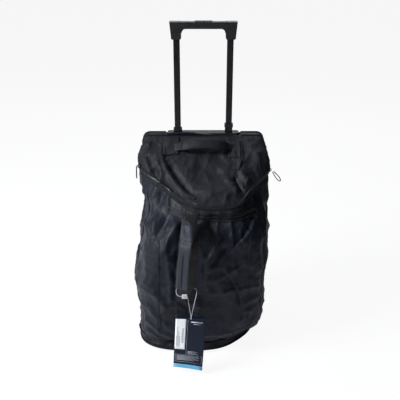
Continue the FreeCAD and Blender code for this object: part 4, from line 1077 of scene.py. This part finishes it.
def link_corners(mesh, centre, side, along, up, size):
    """The four long edges of one link of the coil, each as three points across the zip."""
    width, length, height = size
    return [[mesh.verts.new(centre + side * (width / 2 * c) + along * (length / 2 * a)
                            + up * (height * (0.5 + 0.5 * b) * (1 - 0.25 * abs(c)))) for c in (-1, 0, 1)]
            for a, b in ((-1, -1), (-1, 1), (1, 1), (1, -1))]


def teeth(name, path, across, normal, offset, pitch=0.0021, size=(0.0026, 0.0012, 0.0019)):
    """A zip coil's turns as small rounded links across the path."""
    lengths = run_of(path)
    mesh = bmesh.new()
    for k in range(int(lengths[-1] / pitch)):
        point, side, up = (value_at(k * pitch, lengths, values) for values in (path, across, normal))
        side, up = unit(side), unit(up)
        corners = link_corners(mesh, point + side * offset, side, np.cross(side, up), up, size)
        for first, second in zip(corners, corners[1:] + corners[:1]):
            for c in (0, 1):
                mesh.faces.new((first[c], first[c + 1], second[c + 1], second[c]))
        mesh.faces.new([row[0] for row in corners][::-1])
        mesh.faces.new([row[2] for row in corners])
    bmesh.ops.recalc_face_normals(mesh, faces=mesh.faces)
    return from_bmesh(name, mesh, COIL)


# Points left out at each end of the zip's rows
RIM_TRIM = 4
TEETH_LIFT, TEETH_OFFSET, TAPE_THICKNESS = 0.0011, 0.0015, 0.0009
rim_normal = unit(BODY_NORMALS[-1] + LID_NORMALS[0])[RIM_TRIM:-RIM_TRIM]
teeth_path = to_frame(BODY_POINTS[-1])[RIM_TRIM:-RIM_TRIM] + rim_normal * TEETH_LIFT
# Each side of the zip: its shell, and the rows at its edge, inside it, under the thread and under the tape
for part, body, points, normals, edge, inside, sewn, strip in (
        ("body", "root", BODY_POINTS, BODY_NORMALS, -1, -3, -4, slice(-5, None)),
        ("lid", "lid", LID_POINTS, LID_NORMALS, 0, 2, 3, slice(0, 5))):
    away = unit(points[inside] - points[edge])[RIM_TRIM:-RIM_TRIM]
    finish_piece(teeth("zip_teeth_" + part, teeth_path, away, rim_normal, TEETH_OFFSET), body, "zip_tape")
    tape = thick_grid("zip_tape_" + part, to_frame(points[strip] + normals[strip] * 0.5)[:, 2:-2],
                      TAPE_THICKNESS, ZIP_TAPE)
    finish_piece(tape, body, "zip_tape", "zipper_%s_tape" % part)
    thread = stitches("zip_thread_" + part, row_path(points, normals, sewn, 1.5)[3:-3], normals[sewn][3:-3])
    finish_piece(thread, body, "stitching")


def plate(mesh, outline, low, high, place):
    """A flat plate with the given outline between two heights."""
    bottom = [mesh.verts.new(place(x, y, low)) for x, y in outline]
    top = [mesh.verts.new(place(x, y, high)) for x, y in outline]
    mesh.faces.new(bottom[::-1])
    mesh.faces.new(top)
    for k in range(len(outline)):
        n = (k + 1) % len(outline)
        mesh.faces.new((bottom[k], bottom[n], top[n], top[k]))


# Plans of a slider's plates and of the wedge between them, in millimetres
SHIELD = ((-6, -3), (-5, -3.8), (2, -5), (5.2, -4.4), (6.2, -2), (5.2, 0), (6.2, 2), (5.2, 4.4), (2, 5),
          (-5, 3.8), (-6, 3))
WEDGE = ((0, 0), (5, -1.3), (5, 1.3))
PLATE_INSIDE, PLATE_OUTSIDE = 1.4, 2.6


def zip_slider(centre, along, out):
    """Two shield-shaped plates over the coil, joined by a wedge, with a bridge for the cord."""
    along, out = Vector(along).normalized(), Vector(out).normalized()
    out = (out - along * out.dot(along)).normalized()
    side = along.cross(out)
    centre = at(*centre)

    def place(x, y, z):
        return centre + (along * x + side * y + out * z) / 1000

    mesh = bmesh.new()
    plate(mesh, SHIELD, PLATE_INSIDE, PLATE_OUTSIDE, place)
    plate(mesh, SHIELD, -PLATE_OUTSIDE, -PLATE_INSIDE, place)
    plate(mesh, WEDGE, -PLATE_INSIDE, PLATE_INSIDE, place)
    rings = []
    for t in np.linspace(0, math.pi, 9):
        x, z = -4.2 * math.cos(t), 2.2 + 3.6 * math.sin(t)
        rings.append([mesh.verts.new(place(x - 0.8 * a * math.cos(t), b, z + 0.8 * a * math.sin(t)))
                      for a, b in ((-1, -1.5), (1, -1.5), (1, 1.5), (-1, 1.5))])
    for first, second in zip(rings, rings[1:]):
        for k in range(4):
            mesh.faces.new((first[k], first[(k + 1) % 4], second[(k + 1) % 4], second[k]))
    bmesh.ops.recalc_face_normals(mesh, faces=mesh.faces)
    slider = from_bmesh("slider", mesh, ENAMEL)
    bevel = slider.modifiers.new("bevel", "BEVEL")
    bevel.width, bevel.segments = 0.0004, 2
    return apply_modifiers(slider)


SLIDERS = (((-185.5, -88, 543), (0.05, -0.9, -0.42), (-1, 0, 0.15)),
           ((190.5, -92, 533), (0.05, 0.9, 0.42), (1, 0, 0.15)))
sliders = joined("zip_sliders_visual", [zip_slider(*slider) for slider in SLIDERS])
finish_piece(sliders, "root", "zip_metal", "zip_sliders")
for side, pull in pull_cords.items():
    pull.data.materials.append(CORD)
    finish_piece(pull, "zip_pull_" + side, "pull_cord", "zip_pull_" + side)
    first = pull.data.splines[0].points[0].co


# ---------------------------------------------------------------- carry handle

# By height: left edge, ridge and right edge of the wrapped sleeve, each as (height, x, y)
SLEEVE_LEFT = ((284, -76, -326), (315, -74, -331), (345, -71.5, -333), (380, -67.5, -331),
               (411, -63.5, -325), (432, -59, -312))
SLEEVE_RIDGE = ((284, -43, -344), (315, -41.5, -350), (345, -40, -352), (380, -37, -350),
                (411, -32.5, -344), (432, -29, -331))
SLEEVE_RIGHT = ((284, -22.5, -327), (315, -21.5, -333), (345, -20, -335), (380, -17, -333),
                (411, -12.5, -326), (432, -8.5, -312))
SLEEVE_LOW, SLEEVE_HIGH = 284, 432
# Line of the webbing strap under the sleeve
STRAP_LINE = ((-47, -286, 226), (-48, -291, 240), (-48.5, -310, 262), (-48, -327, 284), (-46, -336, 315),
              (-44, -338, 345), (-41, -335, 380), (-38.5, -325, 411), (-37, -304, 437), (-36, -278, 456),
              (-35.5, -262, 466))


def edge_at(knots, z):
    """Where an edge of the sleeve stands at a height, as x and y."""
    heights = [k[0] for k in knots]
    return np.array([float(through(z, list(zip(heights, [k[i] for k in knots])))) for i in (1, 2)])


def sleeve_rows(count=56):
    """Rings round the wrapped handle from its lower hem to its upper one."""
    rows = []
    for z in np.linspace(SLEEVE_LOW, SLEEVE_HIGH, count):
        left, ridge, right = (edge_at(knots, z) for knots in (SLEEVE_LEFT, SLEEVE_RIDGE, SLEEVE_RIGHT))
        plan = [left + (0, 3), left + (1, -3), left * 0.72 + ridge * 0.28 + (0, -1.5),
                left * 0.35 + ridge * 0.65 + (0, -0.6), ridge + (-4, 1.2), ridge + (0, -0.4),
                ridge + (3.4, 3.2), ridge * 0.5 + right * 0.5 + (1.0, -0.6), right + (-2, -1.5),
                right + (0.6, 3), right + (-6, 9), (left + right) / 2 + (0, 11), left + (8, 9)]
        closed = np.array(plan + plan[:1])
        fine = resample(closed, 53)[:-1]
        for _ in range(2):
            fine = (np.roll(fine, 1, 0) + 2 * fine + np.roll(fine, -1, 0)) / 4
        rows.append(np.column_stack([fine, np.full(len(fine), z)]))
    rows = np.array(rows)
    centre = rows.mean(axis=1, keepdims=True)
    out = unit((rows - centre) * (1, 1, 0))
    grow = 0.8 * soft_noise(rows, 22, 3.3) + 1.1 * crease_noise(rows, 24, 6.6, (1, 1, 0.6))
    hem = sum(np.exp(-((rows[..., 2] - z) / 1.3) ** 2) for z in (286.5, 429)) * 0.9
    seam = -1.3 * np.exp(-((rows[..., 2] - 418) / 1.3) ** 2)
    return rows + out * (grow + hem + seam)[..., None]


handle_sleeve = outward_faces(grid("handle_sleeve", to_frame(sleeve_rows())[:, ::-1], LIT_FACE_NYLON, SHADED_WRAP_NYLON,
                                   closed=True), capped=True)
# Faces turned to the right take the darker copy: painted shade on the sleeve's side away from the light
for face in handle_sleeve.data.polygons:
    if face.normal.x > 0.18:
        face.material_index = 1
finish_piece(handle_sleeve, "carry_handle", "wrap_fabric", "handle_wrap")


def blend_piece(obj, slot, *replaced):
    """Bakes a piece's place into its mesh and hides the parts it replaces."""
    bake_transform(obj)
    if replaced:
        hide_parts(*replaced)


def strap_rows(line, count=90):
    """The middle line, width direction and face direction of a strap whose faces turn with its path."""
    path = spline(line, count)
    along = unit(np.gradient(path, axis=0))
    across = np.tile(np.array([1.0, 0.25, 0.0]), (count, 1))
    across = unit(across - along * (across * along).sum(axis=1)[:, None])
    normal = np.cross(across, along)
    normal[normal[:, 1] > 0] *= -1
    return path, across, normal


STRAP_WIDTH, STRAP_THICKNESS, STRAP_STITCH = 0.034, 0.0030, 13.5
path, across, normal = strap_rows(STRAP_LINE)
carry_strap = ribbon("carry_strap", to_frame(path), across, normal, STRAP_WIDTH, STRAP_THICKNESS, WEBBING,
                     columns=11)
blend_piece(outward_faces(carry_strap), "webbing", "carry_webbings")
strap_threads = [stitches("strap_thread", to_frame(path + across * gap + normal * 2.9), normal)
                 for gap in (-STRAP_STITCH, STRAP_STITCH)]
blend_piece(joined("strap_thread", strap_threads), "stitching")

PATCH_THICKNESS = 0.0022
# Patches where the strap is sewn down, which stand for the anchors: corners and puff
CARRY_PATCHES = ((((-70, 214), (-24, 214), (-24, 246), (-70, 246)), 1.5),
                 (((-58, 446), (-12, 446), (-12, 464), (-58, 464)), 1.0))
carry_patches = [laid_patch("patch", BODY_TREE, corners, "front", PATCH_THICKNESS, WEBBING, puff=puff)
                 for corners, puff in CARRY_PATCHES]
finish_piece(joined("carry_patches", carry_patches), "root", "webbing", "carry_anchors")


def coons(bottom, top, left, right, rows, columns):
    """A surface between four edges, given as points."""
    bottom, top = spline(bottom, columns), spline(top, columns)
    left, right = spline(left, rows), spline(right, rows)
    u, v = np.linspace(0, 1, columns)[None, :, None], np.linspace(0, 1, rows)[:, None, None]
    ruled_v = bottom[None] * (1 - v) + top[None] * v
    ruled_u = left[:, None] * (1 - u) + right[:, None] * u
    corners = (bottom[0] * (1 - u) * (1 - v) + bottom[-1] * u * (1 - v) + top[0] * (1 - u) * v
               + top[-1] * u * v)
    return ruled_v + ruled_u - corners


def cuff(name, bottom, top, left, right, seed, material, rows=26, columns=22):
    """Slack fabric between four edges, bridging the sleeve's upper end and the bag."""
    points = coons(bottom, top, left, right, rows, columns)
    grow = 1.5 * soft_noise(points, 20, seed) + 1.6 * crease_noise(points, 26, seed + 2)
    grow *= np.sin(np.linspace(0, math.pi, columns))[None, :] ** 0.5
    grow *= np.sin(np.linspace(0, math.pi, rows))[:, None] ** 0.5
    slack = points + grid_normals(points) * grow[..., None]
    blend_piece(thick_grid(name, to_frame(slack), 0.0014, material), "wrap_fabric")


# The right cuff takes the darker nylon as painted shade, the left one the sleeve's lighter nylon as painted
# light
cuff("handle_cuff",
     bottom=((-32, -334, 428), (-24, -332, 426), (-12, -317, 421), (2, -297, 411), (14, -280, 400)),
     top=((-34, -292, 459), (-26, -294, 458), (-12, -286, 458), (4, -270, 459), (16, -256, 460)),
     left=((-32, -334, 428), (-33, -323, 438), (-34, -308, 449), (-34, -292, 459)),
     right=((14, -280, 400), (16, -280, 420), (17, -272, 442), (16, -256, 460)), seed=2.2,
     material=SHADED_CUFF_NYLON)
cuff("handle_cuff_left",
     bottom=((-61, -313, 427), (-52, -321, 427), (-42, -328, 427), (-32, -334, 428)),
     top=((-58, -266, 464), (-50, -271, 463), (-42, -280, 461), (-34, -290, 460)),
     left=((-61, -313, 427), (-60, -300, 440), (-59, -284, 453), (-58, -266, 464)),
     right=((-32, -334, 428), (-33, -323, 438), (-34, -308, 449), (-34, -290, 460)), seed=7.2,
     material=LIT_FACE_NYLON)


# ---------------------------------------------------------------- grab handle

# The padded band over the lid, from anchor to anchor
BAND = ((-84, -60, 589), (-76, -62, 592), (-68, -66, 596), (-54, -74, 602), (-38, -79, 606), (-14, -81, 609),
        (14, -81, 609), (38, -79, 606), (54, -74, 601), (68, -66, 595), (78, -62, 590), (88, -60, 586))
BAND_TILT = math.radians(40)


def band_rows(count=72, around=28):
    """Rings round the padded band, with its path, directions, half width and half thickness."""
    path = spline(BAND, count)
    along = unit(np.gradient(path, axis=0))
    across = np.tile(np.array([0.0, -math.cos(BAND_TILT), -math.sin(BAND_TILT)]), (count, 1))
    across = unit(across - along * (across * along).sum(axis=1)[:, None])
    normal = unit(np.cross(along, across))
    normal[normal[:, 2] < 0] *= -1
    share = np.linspace(-1, 1, count)
    wide = 13.0 + 3.5 * ease((0.78 - np.abs(share)) / 0.14)
    thick = 1.8 + 2.6 * ease((0.76 - np.abs(share)) / 0.12)
    angles = np.linspace(0, 2 * math.pi, around, endpoint=False)
    flat = np.sign(np.cos(angles)) * np.abs(np.cos(angles)) ** 0.7
    tall = np.sign(np.sin(angles)) * np.abs(np.sin(angles)) ** 0.8
    rows = np.array([p + np.outer(flat * w, a) + np.outer(tall * t, n)
                     for p, a, n, w, t in zip(path, across, normal, wide, thick)])
    out = unit(rows - path[:, None, :])
    grow = 0.7 * soft_noise(rows, 24, 8.1) + 1.0 * crease_noise(rows, 28, 3.9)
    return rows + out * grow[..., None], path, across, normal, wide, thick


BAND_ROWS, BAND_PATH, BAND_ACROSS, BAND_NORMAL, BAND_WIDE, BAND_THICK = band_rows()
grab_band = outward_faces(grid("grab_band", to_frame(BAND_ROWS), WEBBING, closed=True), capped=True)
finish_piece(grab_band, "grab_handle", "webbing", "grab_handle")
band_threads = []
for sign in (-1, 1):
    line = BAND_PATH + BAND_ACROSS * (sign * (BAND_WIDE - 4))[:, None]
    line += BAND_NORMAL * (BAND_THICK * 0.95)[:, None]
    band_threads.append(stitches("band_thread", to_frame(line[6:-6]), BAND_NORMAL[6:-6]))
finish_piece(joined("band_thread", band_threads), "grab_handle", "stitching")

PATCHES = (((-117, -76), (-70, -76), (-70, -24), (-115, -22)), ((72, -86), (108, -88), (108, -34), (72, -32)))
lid_patches = [laid_patch("patch", LID_TREE, corners, "lid", PATCH_THICKNESS, WEBBING, puff=2.2, lift=0.6)
               for corners in PATCHES]
finish_piece(joined("lid_patches", lid_patches), "lid", "webbing")
patch_threads = []
for corners in PATCHES:
    centre = np.mean(corners, axis=0)
    inset = [centre + (np.array(corner, float) - centre) * 0.88 for corner in corners]
    for a, b in zip(inset, inset[1:] + inset[:1]):
        line = (a, (a + b) / 2, b)
        patch_threads.append(laid_stitches("thread", LID_TREE, line, "lid", count=30, lift=3.4))
finish_piece(joined("patch_threads", patch_threads), "lid", "stitching")

# Straps that run on from the patches, with their widths, and the lid's seams, as x and depth
LID_STRAPS = ((((-112, -72), (-117, -90), (-104, -120), (-66, -172), (-22, -205)), 9.0),
              (((92, -84), (98, -100), (92, -122)), 22.0))
LID_SEAMS = (((-150, -30), (-156, -70), (-138, -108), (-108, -140), (-72, -180)),
             ((150, -30), (156, -70), (160, -110), (150, -142), (120, -182), (96, -184)))
lid_straps = [laid_strip("strap", LID_TREE, line, "lid", width, 0.0016, WEBBING, lift=0.3)
              for line, width in LID_STRAPS]
finish_piece(joined("lid_straps", lid_straps), "lid", "webbing")
lid_seams = [laid_cord("seam", LID_TREE, line, "lid", 0.8, PIPING, lift=0.1) for line in LID_SEAMS]
finish_piece(joined("lid_seams", lid_seams), "lid", "piping")


# ---------------------------------------------------------------- hang tag

# Corners of the slightly twisted card: left bottom, right bottom, right top, left top
CARD_CORNERS = ((-86, -335, 21.5), (-3.5, -349, 18.5), (8.5, -329, 188.5), (-77, -335, 198.5))


def card_place(u, v, lift=0.0):
    """A place on the card by its shares across and up, raised by lift."""
    a, b, c, d = (np.array(p, float) for p in CARD_CORNERS)
    u, v = np.asarray(u, float)[..., None], np.asarray(v, float)[..., None]
    point = (a * (1 - u) + b * u) * (1 - v) + (d * (1 - u) + c * u) * v
    bow = np.sin(math.pi * u) * -1.5 + np.sin(math.pi * v) * 1.2
    normal = unit(np.cross(b - a, d - a))
    return point + normal * (lift + bow)


def card_part(name, u0, u1, v0, v1, lift, thickness, material, rows=14, columns=9):
    """A rectangle of the card, a little proud of it."""
    u, v = np.meshgrid(np.linspace(u0, u1, columns), np.linspace(v0, v1, rows))
    return thick_grid(name, to_frame(card_place(u, v, lift)), thickness, material)


CARD_THICKNESS, STICKER_THICKNESS, INK_THICKNESS = 0.0006, 0.0002, 0.00012
STICKER_LIFT, INK_LIFT = 0.55, 0.72
tag_card = card_part("tag_card", 0, 1, 0, 1, 0, CARD_THICKNESS, CARD, 30, 16)
finish_piece(tag_card, "hang_tag", "tag_card", "hang_tag")
# The coloured strip along the bottom and the white sticker, as (left, right, bottom, top) shares of the card
TAG_COLOURS = (((0.004, 0.996, 0.003, 0.075), CARD_BLUE), ((0.015, 0.355, 0.37, 0.945), CARD_WHITE))
tag_colours = [card_part("colour", *place, STICKER_LIFT, STICKER_THICKNESS, material)
               for place, material in TAG_COLOURS]
finish_piece(joined("tag_colours", tag_colours), "hang_tag", "tag_white")


def bars(name, places, material):
    """Plain printed bars, each as (left, right, bottom, top) shares of the card."""
    return joined(name, [card_part("bar", *place, INK_LIFT, INK_THICKNESS, material, 3, 3)
                         for place in places])


ink = [(0.235, 0.30, 0.50 + 0.0125 * k, 0.50 + 0.0125 * k + 0.0045 + 0.003 * ((k * 7) % 3 == 0))
       for k in range(22)]
ink += [(0.06 + 0.035 * k, 0.072 + 0.035 * k, 0.42, 0.62 + 0.09 * ((k * 5) % 3)) for k in range(4)]
finish_piece(bars("tag_ink_bars", ink, CARD_INK), "hang_tag", "tag_card")
prints = [(0.405, 0.411, 0.27, 0.93), (0.52, 0.90, 0.885, 0.905), (0.60, 0.82, 0.855, 0.862)]
prints += [(0.46, 0.46 + span, 0.335 - 0.022 * k, 0.341 - 0.022 * k)
           for k, span in enumerate((0.34, 0.30, 0.36))]
prints += [(0.05, 0.95, 0.262, 0.265), (0.05, 0.95, 0.122, 0.125), (0.05, 0.056, 0.122, 0.265),
           (0.944, 0.95, 0.122, 0.265)]
prints += [(0.10, 0.10 + span, 0.240 - 0.02 * k, 0.246 - 0.02 * k)
           for k, span in enumerate((0.74, 0.78, 0.70, 0.76, 0.58))]
finish_piece(bars("tag_print_bars", prints, CARD_PRINT), "hang_tag", "tag_white")


def seal_mesh():
    """A small rounded plastic seal with ribs."""
    low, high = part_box("tag_seal")
    centre, size = (low + high) / 2, high - low
    mesh = bmesh.new()
    bmesh.ops.create_cube(mesh, size=1, matrix=Matrix.Translation(centre) @ Matrix.Diagonal((*size, 1)))
    bmesh.ops.bevel(mesh, geom=list(mesh.edges), offset=0.0015, segments=3, affect="EDGES", profile=0.6)
    for k in range(5):
        place = centre + Vector(((k - 2) * size.x * 0.17, -size.y / 2 - 0.0002, 0))
        rib = Matrix.Translation(place) @ Matrix.Diagonal((0.0009, 0.0010, size.z * 0.72, 1))
        bmesh.ops.create_cube(mesh, size=1, matrix=rib)
    return from_bmesh("tag_seal_visual", mesh, SEAL)


seal = seal_mesh()
finish_piece(seal, "hang_tag", "seal_plastic", "tag_seal")
eyelet_path = [card_place(0.5 + 0.034 * math.cos(a), 0.962 + 0.0165 * math.sin(a), 0.5)
               for a in np.linspace(0, 2 * math.pi, 24, endpoint=False)]
eyelet = tube_mesh("tag_eyelet", to_frame(eyelet_path), 0.0005, CARD_INK, closed=True)
finish_piece(eyelet, "hang_tag", "tag_card")
tag_string.data.materials.append(STRING)
finish_piece(tag_string, "hang_tag", "string", "tag_string")


# ---------------------------------------------------------------- the shells

SHELL_THICKNESS = 0.0016
thicken(body_shell, SHELL_THICKNESS)
finish_piece(body_shell, "root", "nylon_body", "front_panel", "side_panel_left", "side_panel_right",
             "bottom_panel", "top_gusset")
thicken(lid_shell, SHELL_THICKNESS)
finish_piece(lid_shell, "lid", "nylon_lid", "top_lid")


# ---------------------------------------------------------------- stage

def value_by_ray(tree, socket, seen, lighting):
    """One value for what the camera sees and another for the light that reaches the bag."""
    path = add(tree, "ShaderNodeLightPath")
    pick = add(tree, "ShaderNodeMapRange")
    pick.inputs["To Min"].default_value, pick.inputs["To Max"].default_value = lighting, seen
    tree.links.new(path.outputs["Is Camera Ray"], pick.inputs["Value"])
    tree.links.new(pick.outputs["Result"], socket)


def add_stage():
    bpy.context.scene.view_settings.view_transform = "Standard"
    bpy.ops.mesh.primitive_plane_add(size=60, location=(0, 0, 0))
    floor = bpy.context.object
    floor.name = "studio_floor"
    material, tree, shader = nodes_of("floor_white")
    value_by_ray(tree, shader.inputs["Base Color"], SHADE_SEEN, FLOOR_SHADE)
    shader.inputs["Roughness"].default_value = 0.9
    shader.inputs["Specular IOR Level"].default_value = 0.1
    shader.inputs["Emission Color"].default_value = (1, 1, 1, 1)
    value_by_ray(tree, shader.inputs["Emission Strength"], BACKDROP_SEEN, FLOOR_GLOW)
    floor.data.materials.append(material)
    world = bpy.data.worlds.new("studio")
    world.use_nodes = True
    sky = world.node_tree.nodes["Background"]
    sky.inputs["Color"].default_value = (0.93, 0.95, 1, 1)
    value_by_ray(world.node_tree, sky.inputs["Strength"], BACKDROP_SEEN, WORLD_LIGHT)
    bpy.context.scene.world = world
    for name, place, size, power in LAMPS:
        light = bpy.data.lights.new(name, "AREA")
        light.size, light.energy, light.color = size, power, COOL_WHITE
        lamp = bpy.data.objects.new(name, light)
        lamp.location = place
        lamp.rotation_euler = (Vector(LAMP_AIM) - Vector(place)).to_track_quat("-Z", "Y").to_euler()
        bpy.context.scene.collection.objects.link(lamp)


# The floor and sky look white to the camera, but light the bag less than that: strengths of their own light
WORLD_LIGHT, FLOOR_GLOW, BACKDROP_SEEN = 0.05, 0.11, 0.92
# The floor's own grey, as the camera sees it and as it passes light on
SHADE_SEEN, FLOOR_SHADE = 0.06, 0.9
# Soft studio lamps, strongest from the upper left: name, place, size and power
COOL_WHITE, LAMP_AIM = (0.90, 0.93, 1.0), (0, 0, 0.4)
LAMPS = (("key", (-2.0, -0.9, 1.9), 0.8, 150), ("top", (-0.3, 0.2, 2.6), 1.6, 12),
         ("fill", (1.8, -1.6, 1.4), 1.8, 0.8), ("back", (0.3, 1.8, 2.0), 1.6, 20))
add_stage()
